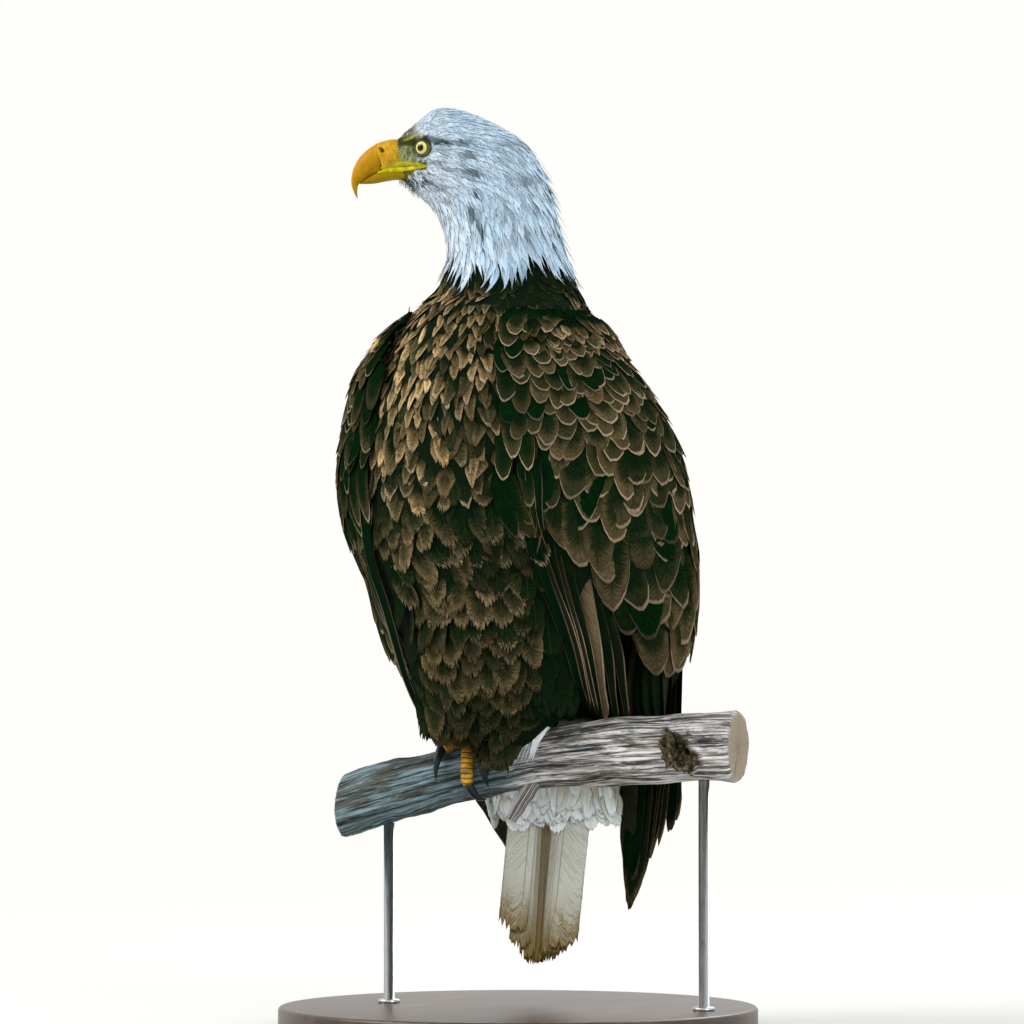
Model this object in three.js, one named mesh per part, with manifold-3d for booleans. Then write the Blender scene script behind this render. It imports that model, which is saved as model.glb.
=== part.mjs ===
// A life-size bald eagle perched on a cut length of branch, on a museum display stand.
// Millimetres, +Z up. The body faces -Y, and its head is turned to its right.
// The origin is the middle of the underside of the stand's base.

import * as THREE from "three";
import { mergeVertices } from "three/addons/utils/BufferGeometryUtils.js";
import Module from "manifold-3d";

const wasm = await Module();
wasm.setup();

// ---- driving dimensions ----

const GAP = 0.35; // clearance between pieces that meet
const HEAD_TURN = THREE.MathUtils.degToRad(-52); // about +Z, towards the bird's right
const HEAD_AXIS_Y = -10; // the vertical axis that the head turns about
const PERCH_TURN = THREE.MathUtils.degToRad(18); // the branch's heading in plan, from +X
const TWIST = { from: 530, to: 330 }; // the hips follow the branch, and the chest faces -Y
const SIDES = { left: 1, right: -1 }; // sign of X

const BASE = { radius: 240, thickness: 24, bevel: 4 };
const ROD = { radius: 5.5, alongPerch: [-138, 196], facets: 12 };
const PERCH = [
  // along: distance from the Z axis, height: of the branch's centre
  { along: -185, height: 222, radius: 33 },
  { along: -125, height: 239, radius: 32.5 },
  { along: -60, height: 255, radius: 29.5 },
  { along: -5, height: 266, radius: 29 },
  { along: 45, height: 274, radius: 32 },
  { along: 100, height: 279, radius: 34.5 },
  { along: 172, height: 284, radius: 35 },
  { along: 232, height: 286, radius: 36 },
];
const KNOT = { along: 182, radius: 17, proud: 13 };
const TWIG = { along: 24, radius: 8, length: 44 };

// Sections give a front and a back point, as [y, z], and the half width between them.
const TRUNK = [
  { front: [-71, 744.8], back: [54, 744.8], half: 72 },
  { front: [-112, 712], back: [56, 718], half: 100 },
  { front: [-146, 642], back: [78, 652], half: 143 },
  { front: [-154, 562], back: [104, 570], half: 163 },
  { front: [-145, 482], back: [110, 488], half: 160 },
  { front: [-120, 408], back: [92, 410], half: 126 },
  { front: [-94, 350], back: [56, 352], half: 92 },
  { front: [-66, 316], back: [20, 318], half: 62 },
  { front: [-50, 303], back: [-6, 304], half: 34 },
];
const THIGHS = {
  left: [
    { front: [-100, 430], back: [0, 436], half: 44, x: 52 },
    { front: [-96, 385], back: [6, 390], half: 47, x: 45 },
    { front: [-82, 335], back: [10, 338], half: 44, x: 36 },
    { front: [-70, 304], back: [-4, 307], half: 37, x: 18 },
    { front: [-64, 276], back: [-49, 279], half: 24, x: -4 },
  ],
  right: [
    { front: [-100, 430], back: [0, 436], half: 44, x: -58 },
    { front: [-96, 385], back: [6, 390], half: 47, x: -58 },
    { front: [-82, 335], back: [10, 338], half: 43, x: -55 },
    { front: [-68, 303], back: [-4, 306], half: 33, x: -51 },
    { front: [-58, 290], back: [-30, 294], half: 18, x: -50 },
  ],
};
const HIP_CUT = { height: 356, x: -14 }; // the legs part from the trunk, and from each other

// The outside of the body with its wings folded round it, in front of and behind its widest line.
const HULL = [
  { height: 715, middle: -31, half: 101, front: 84, back: 84 },
  { height: 700, middle: -33, half: 118, front: 97, back: 94 },
  { height: 670, middle: -36, half: 145, front: 110, back: 106 },
  { height: 650, middle: -35, half: 162, front: 115, back: 112 },
  { height: 600, middle: -20, half: 186, front: 128, back: 128 },
  { height: 550, middle: -9, half: 195, front: 147, back: 140 },
  { height: 500, middle: 2, half: 193, front: 147, back: 140 },
  { height: 450, middle: 27, half: 181, front: 138, back: 125 },
  { height: 400, middle: 43, half: 170, front: 112, back: 112 },
  { height: 350, middle: 61, half: 154, front: 81, back: 100 },
  { height: 320, middle: 70, half: 148, front: 60, back: 92 },
];
// The folded arm and its coverts: a shell on the hull, from a front edge to a back edge.
// Angles run from the bird's side (0) to its front (90) and its back (-90).
const WING = { top: 713, bottomFront: 402, bottomBack: 345, rows: 11, columns: 9, edge: 2.6 };
const WING_EDGES = [
  { height: 715, front: 42, back: -60 },
  { height: 680, front: 48, back: -66 },
  { height: 620, front: 54, back: -72 },
  { height: 540, front: 56, back: -83 },
  { height: 485, front: 56, back: -87 },
  { height: 430, front: 53, back: -88 },
  { height: 390, front: 54, back: -88 },
  { height: 345, front: 58, back: -88 },
];
const WING_THICKNESS = [
  { height: 715, thickness: 3 },
  { height: 680, thickness: 15 },
  { height: 620, thickness: 26 },
  { height: 540, thickness: 24 },
  { height: 470, thickness: 10 },
  { height: 430, thickness: 5 },
  { height: 345, thickness: 4 },
];
// Flight feathers run from a root section to a middle section to their tips, numbered from the
// outermost primary to the innermost secondary.
const FLIGHT = { thickness: 3, ripple: 1.1, rows: 4, notch: 0.93, tuck: 5.5 };
const PRIMARIES = { first: 0, last: 6 };
const SECONDARIES = { first: 7, last: 14 };
const FLIGHT_ROOT = { height: 428, middle: 40, half: 162, front: 22, back: 103, from: 32, to: -87 };
const FLIGHT_BEND = { height: 340, middle: 56, half: 151, front: 38, back: 93, from: 50, to: -87 };
const FLIGHT_TIPS = {
  left: [
    { feather: 0, x: 55, y: 116, z: 150 },
    { feather: 2, x: 57, y: 118, z: 114 },
    { feather: 4, x: 66, y: 124, z: 150 },
    { feather: 6, x: 84, y: 128, z: 180 },
    { feather: 8, x: 100, y: 131, z: 205 },
    { feather: 10, x: 78, y: 140, z: 214 },
    { feather: 12, x: 45, y: 146, z: 212 },
    { feather: 14, x: 9, y: 144, z: 206 },
  ],
  right: [
    { feather: 0, x: -34, y: 116, z: 140 },
    { feather: 2, x: -27, y: 118, z: 97 },
    { feather: 4, x: -36, y: 123, z: 140 },
    { feather: 6, x: -50, y: 127, z: 180 },
    { feather: 8, x: -72, y: 130, z: 216 },
    { feather: 10, x: -62, y: 138, z: 222 },
    { feather: 12, x: -40, y: 144, z: 216 },
    { feather: 14, x: -9, y: 144, z: 210 },
  ],
};

// The tail and its coverts are placed along the branch (x) and behind it (y).
const TAIL = {
  feathers: 12,
  root: { x: 10, y: 60, z: 300, spread: 31 },
  tip: { x: -6, y: 53, z: 61, spread: 40 },
  stack: 5, // how far the middle feathers stand behind the outer ones
  thickness: 2.6,
  shorter: 9, // of the outer feathers
};
const TAIL_COVERTS = [
  { front: [56, 332], back: [104, 336], half: 36, x: 4 },
  { front: [46, 300], back: [98, 306], half: 52, x: 8 },
  { front: [44, 262], back: [84, 266], half: 68, x: 12 },
  { front: [46, 236], back: [76, 240], half: 72, x: 13 },
  { front: [49, 214], back: [71, 216], half: 60, x: 10 },
  { front: [54, 200], back: [66, 201], half: 40, x: 8 },
];

// Head and neck, in the turned head frame with its origin on the turning axis.
const HOOD = [
  { front: [-116.5, 848], back: [-117, 890], half: 15 },
  { front: [-108, 838.5], back: [-99, 905.5], half: 27 },
  { front: [-93, 828], back: [-72, 922], half: 36 },
  { front: [-78, 812.5], back: [-30, 913], half: 43 },
  { front: [-71, 793.5], back: [20, 886], half: 51 },
  { front: [-69, 775], back: [44, 838], half: 58 },
  { front: [-71, 759], back: [57, 785], half: 66 },
  { front: [-77, 745.2], back: [69, 745.2], half: 73 },
];
const NECK_CUT = 0.56; // share of the hood that is head
const EYE = { x: 20.5, y: -88, z: 881.5, radius: 12.2 };
const CERE = [
  { front: [-112, 853.5], back: [-112, 888], half: 14.5 },
  { front: [-124, 856.6], back: [-124.5, 888.4], half: 14.8 },
  { front: [-133.6, 857], back: [-134, 887.5], half: 13.6 },
];
const UPPER_BILL = [
  { front: [-134.2, 856.8], back: [-134.6, 887], half: 12.8 },
  { front: [-146, 852.6], back: [-148, 881], half: 10.8 },
  { front: [-152.8, 846.6], back: [-158, 867.5], half: 7.8 },
  { front: [-153.2, 841.6], back: [-161, 853], half: 5.4 },
  { front: [-153, 836], back: [-158.4, 840], half: 3 },
  { front: [-153, 831], back: [-154.6, 831.6], half: 0.8 },
];
const LOWER_BILL = [
  { front: [-106, 846], back: [-106, 853], half: 13.4 },
  { front: [-124, 846.6], back: [-124, 856], half: 12.6 },
  { front: [-138, 846.2], back: [-139, 852.4], half: 9.2 },
  { front: [-151, 845], back: [-151.4, 846.6], half: 3 },
];

const FOOT = { tarsusRadius: 9.5, toeRadius: 8.2, clawRadius: 5.4, lean: 6 };
// shift: how far the toe spreads along the branch. reach: degrees round it from its top to the
// toe's end. clawShift and claw: the same for the claw, from there on.
const FEET = {
  left: {
    along: 0,
    knee: [22, -32, 350],
    toes: [
      { shift: -17, reach: 72, clawShift: -3, claw: 52 },
      { shift: 0, reach: 84, clawShift: 2, claw: 50 },
      { shift: 19, reach: 48, clawShift: 4, claw: 52 },
      { shift: 2, reach: -64, clawShift: 0, claw: -74 },
    ],
  },
  right: {
    along: -53,
    knee: [-54, -32, 352],
    toes: [
      { shift: 17, reach: 76, clawShift: 3, claw: 52 },
      { shift: 0, reach: 114, clawShift: 12, claw: 46 },
      { shift: -31, reach: 40, clawShift: -3, claw: 56 },
      { shift: -2, reach: -64, clawShift: 0, claw: -74 },
    ],
  },
};

const FINISH = {
  hood: { color: 0xe9eef2, roughness: 0.8 },
  plumage: { color: 0x3d2b1c, roughness: 0.85 },
  wing: { color: 0x4a3626, roughness: 0.8 },
  flight: { color: 0x201a15, roughness: 0.7 },
  tail: { color: 0xe6e2d6, roughness: 0.8 },
  bill: { color: 0xe9a00c, roughness: 0.4 },
  cere: { color: 0xe0b20c, roughness: 0.5 },
  foot: { color: 0xe0a012, roughness: 0.6 },
  claw: { color: 0x15171a, roughness: 0.3 },
  eye: { color: 0xe8e08a, roughness: 0.1 },
  perch: { color: 0x9a9a98, roughness: 0.9 },
  stand: { color: 0x3a2618, roughness: 0.5 },
  rod: { color: 0x8c8f92, roughness: 0.35, metalness: 1 },
};

// ---- solids and meshes ----

const eagle = new THREE.Group();
const materials = Object.fromEntries(
  Object.entries(FINISH).map(([name, finish]) => [name, new THREE.MeshStandardMaterial(finish)]),
);

function solidOf(geometry) {
  const bare = geometry.clone();
  bare.deleteAttribute("normal");
  bare.deleteAttribute("uv");
  const merged = mergeVertices(bare, 1e-4);
  const triVerts = new Uint32Array(merged.index.array);
  const vertProperties = merged.attributes.position.array;
  const facingOut = new wasm.Manifold(new wasm.Mesh({ numProp: 3, vertProperties, triVerts }));
  if (facingOut.volume() > 0) return facingOut;
  for (let i = 0; i < triVerts.length; i += 3) {
    [triVerts[i + 1], triVerts[i + 2]] = [triVerts[i + 2], triVerts[i + 1]];
  }
  return new wasm.Manifold(new wasm.Mesh({ numProp: 3, vertProperties, triVerts }));
}

function largestOf(solid) {
  const bodies = solid.decompose();
  return bodies.reduce((best, body) => (body.volume() > best.volume() ? body : best));
}

function addPart(name, solid, finish, parent = eagle) {
  const { vertProperties, triVerts } = largestOf(solid).getMesh();
  const geometry = new THREE.BufferGeometry()
    .setAttribute("position", new THREE.BufferAttribute(vertProperties, 3))
    .setIndex(new THREE.BufferAttribute(triVerts, 1));
  geometry.computeVertexNormals();
  const mesh = new THREE.Mesh(geometry, materials[finish]);
  mesh.name = name;
  parent.add(mesh);
}

function range(count, make) {
  return Array.from({ length: count }, (_, i) => make(i));
}

// Reads a table of stations smoothly at any value of its key.
function reader(stations, key) {
  const rising = [...stations].sort((a, b) => a[key] - b[key]);
  const fields = Object.keys(rising[0]).filter((field) => field !== key);
  return (at) => {
    const place = THREE.MathUtils.clamp(at, rising[0][key], rising.at(-1)[key]);
    const upper = Math.max(1, rising.findIndex((station) => station[key] >= place));
    const [low, high] = [rising[upper - 1], rising[upper]];
    const [before, after] = [rising[upper - 2] ?? low, rising[upper + 1] ?? high];
    const span = high[key] - low[key];
    const t = (place - low[key]) / span;
    const valueOf = (field) => {
      const slopeLow = ((high[field] - before[field]) / (high[key] - before[key])) * span;
      const slopeHigh = ((after[field] - low[field]) / (after[key] - low[key])) * span;
      const bend = slopeLow * (t ** 3 - 2 * t ** 2 + t) + slopeHigh * (t ** 3 - t ** 2);
      return low[field] + (high[field] - low[field]) * (3 * t ** 2 - 2 * t ** 3) + bend;
    };
    return Object.fromEntries(fields.map((field) => [field, valueOf(field)]));
  };
}

const hullAt = reader(HULL, "height");
const wingEdgesAt = reader(WING_EDGES, "height");
const wingThicknessAt = reader(WING_THICKNESS, "height");
const perchAt = reader(PERCH, "along");

// Turns a point about +Z as the body twists between the chest and the branch.
function twisted(point) {
  const t = THREE.MathUtils.smoothstep(-point.z, -TWIST.from, -TWIST.to);
  return point.applyAxisAngle(new THREE.Vector3(0, 0, 1), PERCH_TURN * t);
}

// A closed skin over rings of equally many points, capped at both ends.
function loft(rings) {
  const sides = rings[0].length;
  const caps = [rings[0], rings.at(-1)].map((ring) =>
    ring.reduce((sum, point) => sum.add(point), new THREE.Vector3()).divideScalar(sides),
  );
  const points = [...rings.flat(), ...caps];
  const [firstCap, lastCap] = [points.length - 2, points.length - 1];
  const lastRing = (rings.length - 1) * sides;
  const index = [];
  for (let side = 0; side < sides; side++) {
    const next = (side + 1) % sides;
    for (let ring = 0; ring < rings.length - 1; ring++) {
      const [a, b] = [ring * sides + side, ring * sides + next];
      index.push(a, b, a + sides, b, b + sides, a + sides);
    }
    index.push(firstCap, next, side, lastCap, lastRing + side, lastRing + next);
  }
  return solidOf(new THREE.BufferGeometry().setFromPoints(points).setIndex(index));
}

// A closed sheet between two grids of points, outer and inner, each a function of row and column.
function sheet(rows, columns, outer, inner) {
  const width = columns + 1;
  const grid = (pointAt) => range((rows + 1) * width, (i) => pointAt(Math.floor(i / width), i % width));
  const points = [...grid(outer), ...grid(inner)];
  const under = points.length / 2;
  const index = [];
  const quad = (a, b, c, d) => index.push(a, b, c, a, c, d);
  for (let row = 0; row < rows; row++) {
    const [start, end] = [row * width, row * width + columns];
    for (let a = start; a < end; a++) {
      quad(a, a + width, a + width + 1, a + 1);
      quad(under + a + 1, under + a + width + 1, under + a + width, under + a);
    }
    quad(start, under + start, under + start + width, start + width);
    quad(end + width, under + end + width, under + end, end);
  }
  for (let column = 0; column < columns; column++) {
    const last = rows * width + column;
    quad(column + 1, under + column + 1, under + column, column);
    quad(last, under + last, under + last + 1, last + 1);
  }
  return solidOf(new THREE.BufferGeometry().setFromPoints(points).setIndex(index));
}

// A rounded body through sections in the middle plane, each an ellipse from front to back.
function body(stations, { count, sides, from = 0, to = 1, grow = 0, place = (point) => point }) {
  const curve = (points) => new THREE.CatmullRomCurve3(points, false, "catmullrom", 0.5);
  const fronts = curve(stations.map(({ front, half }) => new THREE.Vector3(half, ...front)));
  const backs = curve(stations.map(({ back, x = 0 }) => new THREE.Vector3(x, ...back)));
  const rings = range(count, (ring) => {
    const t = THREE.MathUtils.lerp(from, to, ring / (count - 1));
    const [front, back] = [fronts.getPoint(t), backs.getPoint(t)];
    const half = front.x + grow;
    front.x = back.x;
    const centre = front.clone().add(back).divideScalar(2);
    const arm = back.sub(front).divideScalar(2);
    arm.setLength(arm.length() + grow);
    return range(sides, (side) => {
      const angle = (2 * Math.PI * side) / sides;
      const across = new THREE.Vector3(half * Math.sin(angle), 0, 0);
      return place(centre.clone().addScaledVector(arm, Math.cos(angle)).add(across));
    });
  });
  return loft(rings);
}

// A round tube along a path, with its own radius at each share of the length.
function tube(path, radiusAt, steps, facets) {
  const { normals, binormals } = path.computeFrenetFrames(steps, false);
  const rings = range(steps + 1, (step) => {
    const centre = path.getPointAt(step / steps);
    const radius = radiusAt(step / steps);
    return range(facets, (facet) => {
      const angle = (2 * Math.PI * facet) / facets;
      return centre
        .clone()
        .addScaledVector(normals[step], radius * Math.cos(angle))
        .addScaledVector(binormals[step], radius * Math.sin(angle));
    });
  });
  return loft(rings);
}

function box(width, depth, height, centre) {
  return solidOf(new THREE.BoxGeometry(width, depth, height).translate(...centre));
}

// ---- perch ----

const perchAlong = new THREE.Vector3(Math.cos(PERCH_TURN), Math.sin(PERCH_TURN), 0);
const perchAhead = new THREE.Vector3(Math.sin(PERCH_TURN), -Math.cos(PERCH_TURN), 0);

// A point round the branch: degrees from its top, positive towards the front, and over its bark.
function roundPerch(along, degrees, over) {
  const { height, radius } = perchAt(along);
  const angle = THREE.MathUtils.degToRad(degrees);
  return new THREE.Vector3(0, 0, height + (radius + over) * Math.cos(angle))
    .addScaledVector(perchAlong, along)
    .addScaledVector(perchAhead, (radius + over) * Math.sin(angle));
}

function perchSolid(grow = 0) {
  const [start, end] = [PERCH[0].along, PERCH.at(-1).along];
  const [steps, facets] = [11, 14];
  const rings = range(steps + 1, (step) => {
    const along = THREE.MathUtils.lerp(start, end, step / steps);
    return range(facets, (facet) => roundPerch(along, (360 * facet) / facets, grow));
  });
  return loft(rings);
}

function knotSolid() {
  const { radius, proud, along } = KNOT;
  const knot = new THREE.SphereGeometry(1, 9, 6).scale(radius * 1.3, radius, proud * 2);
  knot.rotateX(Math.PI / 2).rotateZ(PERCH_TURN);
  return solidOf(knot.translate(...roundPerch(along, 92, 0).toArray()));
}

function twigSolid() {
  const { along, radius, length } = TWIG;
  const root = roundPerch(along, 150, -12);
  const tip = root
    .clone()
    .addScaledVector(perchAlong, -length * 0.55)
    .addScaledVector(perchAhead, length * 0.25)
    .setZ(root.z - length);
  return tube(new THREE.LineCurve3(root, tip), () => radius, 1, 8);
}

const perchClearance = perchSolid(GAP);

// ---- stand ----

function baseSolid() {
  const { radius, thickness, bevel } = BASE;
  const profile = [
    new THREE.Vector2(0, 0),
    new THREE.Vector2(radius, 0),
    new THREE.Vector2(radius, thickness - bevel),
    new THREE.Vector2(radius - bevel, thickness),
    new THREE.Vector2(0, thickness),
  ];
  return solidOf(new THREE.LatheGeometry(profile, 36).rotateX(Math.PI / 2));
}

function rodSolid(along) {
  const [bottom, top] = [BASE.thickness + GAP, perchAt(along).height];
  const rod = new THREE.CylinderGeometry(ROD.radius, ROD.radius, top - bottom, ROD.facets);
  const place = perchAlong.clone().multiplyScalar(along);
  const standing = rod.rotateX(Math.PI / 2).translate(place.x, place.y, (top + bottom) / 2);
  return solidOf(standing).subtract(perchClearance);
}

function buildStand() {
  addPart("perch", perchSolid().add(knotSolid()).add(twigSolid()), "perch");
  addPart("stand_base", baseSolid(), "stand");
  ROD.alongPerch.forEach((along, i) => addPart(`stand_rod_${i + 1}`, rodSolid(along), "rod"));
}

// ---- wings ----

// A point on a half-and-half ellipse round the body, moved out along its normal.
function onSection({ middle, half, front, back }, height, degrees, out, side) {
  const angle = THREE.MathUtils.degToRad(degrees);
  const depth = degrees > 0 ? front : back;
  const point = new THREE.Vector3(half * Math.cos(angle), middle - depth * Math.sin(angle), height);
  const normal = new THREE.Vector3(Math.cos(angle) / half, -Math.sin(angle) / depth, 0).normalize();
  point.addScaledVector(normal, out);
  point.x *= side;
  return twisted(point);
}

// The arm and coverts of one folded wing, as a curved shell with thin edges.
function wingSolid(side, grow = 0) {
  const { top, bottomFront, bottomBack, rows, columns, edge } = WING;
  const at = (row, column, inner) => {
    const t = column / columns;
    const bottom = bottomBack + (bottomFront - bottomBack) * (1 - t) ** 1.5;
    const height = THREE.MathUtils.lerp(top + grow, bottom - grow, row / rows);
    const { front, back } = wingEdgesAt(height);
    const hull = hullAt(height);
    const reach = THREE.MathUtils.radToDeg(grow / hull.half);
    const degrees = THREE.MathUtils.lerp(front + reach, back - reach, t);
    const { thickness } = wingThicknessAt(height);
    const deep = edge + (thickness - edge) * Math.min(1, 4 * Math.min(t, 1 - t)) ** 0.7;
    return onSection(hull, height, degrees, inner ? -deep - grow : grow, side);
  };
  return sheet(
    rows,
    columns,
    (row, column) => at(row, column, false),
    (row, column) => at(row, column, true),
  );
}

// One block of flight feathers, each a shallow ridge that ends in its own tip.
function flightSolid(name, { first, last }, tuck, grow = 0) {
  const side = SIDES[name];
  const { thickness, ripple, rows, notch } = FLIGHT;
  const tipAt = reader(FLIGHT_TIPS[name], "feather");
  const columns = 2 * (last - first + 1);
  const at = (row, column, out) => {
    const onShaft = column % 2 === 1;
    const feather = first - 0.5 + column / 2;
    const share = THREE.MathUtils.clamp((feather + 0.5) / (SECONDARIES.last + 1), 0, 1);
    const lift = out - tuck + (onShaft ? ripple : 0);
    const [root, bend] = [FLIGHT_ROOT, FLIGHT_BEND].map((section) =>
      onSection(section, section.height, THREE.MathUtils.lerp(section.from, section.to, share), lift, side),
    );
    const { x, y, z } = tipAt(feather);
    const outward = new THREE.Vector3(side * 0.5, 1, 0).normalize();
    const tip = new THREE.Vector3(x, y, z).addScaledVector(outward, lift * 0.5);
    const path = new THREE.QuadraticBezierCurve3(root, bend, tip);
    return path.getPoint((onShaft ? 1 : notch) * (row / rows));
  };
  return sheet(
    rows,
    columns,
    (row, column) => at(row, column, grow),
    (row, column) => at(row, column, -thickness - grow),
  );
}

// ---- tail ----

function tailSolid(grow = 0) {
  const { feathers, root, tip, stack, thickness, shorter } = TAIL;
  const [rows, columns] = [2, 2 * feathers];
  const at = (row, column, out) => {
    const across = (2 * column) / columns - 1;
    const t = row / rows;
    const onShaft = column % 2 === 1;
    const spread = THREE.MathUtils.lerp(root.spread, tip.spread, t) + grow;
    const x = THREE.MathUtils.lerp(root.x, tip.x, t) + across * spread;
    const arch = stack * (1 - across ** 2) + (onShaft ? 0.7 : 0);
    const y = THREE.MathUtils.lerp(root.y, tip.y, t) + arch + out;
    const end = tip.z + shorter * across ** 2 + (onShaft ? 0 : 3) - grow;
    const z = THREE.MathUtils.lerp(root.z + grow, end, t);
    return new THREE.Vector3(x, y, z).applyAxisAngle(new THREE.Vector3(0, 0, 1), PERCH_TURN);
  };
  return sheet(
    rows,
    columns,
    (row, column) => at(row, column, thickness / 2 + grow),
    (row, column) => at(row, column, -thickness / 2 - grow),
  );
}

// ---- feet ----

// A path round the branch between two places, each a distance along it and degrees round it.
function graspPath(from, to, overAt) {
  const points = range(7, (i) => {
    const t = i / 6;
    const along = THREE.MathUtils.lerp(from.along, to.along, t);
    return roundPerch(along, THREE.MathUtils.lerp(from.degrees, to.degrees, t), overAt(t));
  });
  return new THREE.CatmullRomCurve3(points);
}

function toeSolid(foot, { shift, reach }, grow = 0) {
  const { toeRadius, lean } = FOOT;
  const from = { along: foot.along + shift * 0.15, degrees: lean * Math.sign(reach) };
  const to = { along: foot.along + shift, degrees: reach };
  const path = graspPath(from, to, () => toeRadius + GAP);
  return tube(path, (t) => toeRadius * (1 - 0.2 * t) + grow, 4, 7);
}

function clawSolid(foot, { shift, reach, clawShift, claw }, grow = 0) {
  const { clawRadius } = FOOT;
  const backwards = 8 * Math.sign(reach);
  const from = { along: foot.along + shift, degrees: reach - backwards };
  const to = { along: foot.along + shift + clawShift, degrees: reach + claw };
  const path = graspPath(from, to, (t) => clawRadius * (1 - 0.55 * t) + 1 + 3 * Math.sin(Math.PI * t));
  return tube(path, (t) => Math.max(0.35, clawRadius * (1 - t ** 1.7)) + grow, 4, 6);
}

function footSolid(foot, grow = 0) {
  const ankle = roundPerch(foot.along, 0, 11);
  const knee = twisted(new THREE.Vector3(...foot.knee));
  const tarsus = tube(new THREE.LineCurve3(ankle, knee), () => FOOT.tarsusRadius + grow, 1, 8);
  const palm = new THREE.SphereGeometry(1, 8, 6).scale(14 + grow, 13 + grow, 9 + grow);
  palm.rotateZ(PERCH_TURN).translate(...roundPerch(foot.along, 0, 9.6).toArray());
  const toes = foot.toes.map((toe) => toeSolid(foot, toe, grow));
  return wasm.Manifold.union([tarsus, solidOf(palm), ...toes]).subtract(perchClearance);
}

function buildFeet() {
  for (const [name, foot] of Object.entries(FEET)) {
    addPart(`foot_${name}`, footSolid(foot), "foot");
    foot.toes.forEach((toe, i) => {
      const claw = clawSolid(foot, toe).subtract(footSolid(foot, GAP)).subtract(perchClearance);
      addPart(`talon_${name}_${i + 1}`, claw, "claw");
    });
  }
}

// ---- head ----

function eyeSolid(side, grow = 0) {
  const eye = new THREE.SphereGeometry(EYE.radius + grow, 10, 7);
  return solidOf(eye.translate(EYE.x * side, EYE.y, EYE.z));
}

function buildHead() {
  const frame = new THREE.Group();
  frame.position.set(0, HEAD_AXIS_Y, 0);
  frame.rotation.z = HEAD_TURN;
  eagle.add(frame);
  const bill = { count: 4, sides: 10 };
  const cereClearance = body(CERE, { ...bill, grow: GAP });
  const upperClearance = body(UPPER_BILL, { count: 8, sides: 10, grow: GAP });
  const lowerClearance = body(LOWER_BILL, { ...bill, grow: GAP });
  const eyes = Object.values(SIDES).map((side) => eyeSolid(side, GAP));
  const head = body(HOOD, { count: 9, sides: 18, to: NECK_CUT })
    .subtract(cereClearance)
    .subtract(lowerClearance)
    .subtract(wasm.Manifold.union(eyes));
  const neck = body(HOOD, { count: 7, sides: 18, from: NECK_CUT + 0.004 });
  const upper = body(UPPER_BILL, { count: 8, sides: 10 }).subtract(cereClearance);
  const lower = body(LOWER_BILL, bill).subtract(upperClearance).subtract(cereClearance);
  addPart("head", head, "hood", frame);
  addPart("neck", neck, "hood", frame);
  addPart("cere", body(CERE, bill), "cere", frame);
  addPart("bill_upper", upper, "bill", frame);
  addPart("bill_lower", lower, "bill", frame);
  for (const [name, side] of Object.entries(SIDES)) {
    addPart(`eye_${name}`, eyeSolid(side), "eye", frame);
  }
}

// ---- body ----

// Trunk and thighs are one body, parted by flat cuts.
function buildBody() {
  const flesh = wasm.Manifold.union([
    body(TRUNK, { count: 13, sides: 20, place: twisted }),
    ...Object.values(THIGHS).map((thigh) => body(thigh, { count: 6, sides: 12, place: twisted })),
  ]);
  const wings = Object.values(SIDES).map((side) => wingSolid(side, GAP));
  const feet = Object.values(FEET).flatMap((foot) => [
    footSolid(foot, GAP),
    ...foot.toes.map((toe) => clawSolid(foot, toe, GAP)),
  ]);
  const bare = flesh.subtract(wasm.Manifold.union([...wings, ...feet, perchClearance]));
  const size = 600;
  const below = box(size, size, size, [0, 0, HIP_CUT.height - size / 2]);
  const above = box(size, size, size, [0, 0, HIP_CUT.height + GAP + size / 2]);
  addPart("trunk", bare.intersect(above), "plumage");
  for (const [name, side] of Object.entries(SIDES)) {
    const inward = HIP_CUT.x + (side * (size + GAP)) / 2;
    const half = box(size, size, size * 3, [inward, 0, 0]).rotate([0, 0, THREE.MathUtils.radToDeg(PERCH_TURN)]);
    addPart(`thigh_${name}`, bare.intersect(below).intersect(half), "plumage");
  }
}

function buildWings() {
  for (const [name, side] of Object.entries(SIDES)) {
    addPart(`wing_${name}`, wingSolid(side), "wing");
    addPart(`primaries_${name}`, flightSolid(name, PRIMARIES, FLIGHT.tuck), "flight");
    addPart(`secondaries_${name}`, flightSolid(name, SECONDARIES, 0), "flight");
  }
}

function buildTail() {
  const place = (point) => point.applyAxisAngle(new THREE.Vector3(0, 0, 1), PERCH_TURN);
  const coverts = body(TAIL_COVERTS, { count: 6, sides: 14, place });
  const primaries = Object.keys(SIDES).map((name) => flightSolid(name, PRIMARIES, FLIGHT.tuck, GAP));
  const cuts = wasm.Manifold.union([tailSolid(GAP), perchClearance, ...primaries]);
  addPart("tail", tailSolid(), "tail");
  addPart("tail_coverts", coverts.subtract(cuts), "tail");
}

buildStand();
buildFeet();
buildBody();
buildWings();
buildTail();
buildHead();

export default eagle;
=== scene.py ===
# A life-size bald eagle on a cut length of branch, held by a plain display stand.
# Tables are in millimetres, in the part's own frame: +Z up, the chest faces -Y, +X is the bird's left.

import itertools
import math

import bmesh
import bpy
import numpy as np
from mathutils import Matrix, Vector
from mathutils.bvhtree import BVHTree
from mathutils.kdtree import KDTree


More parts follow.
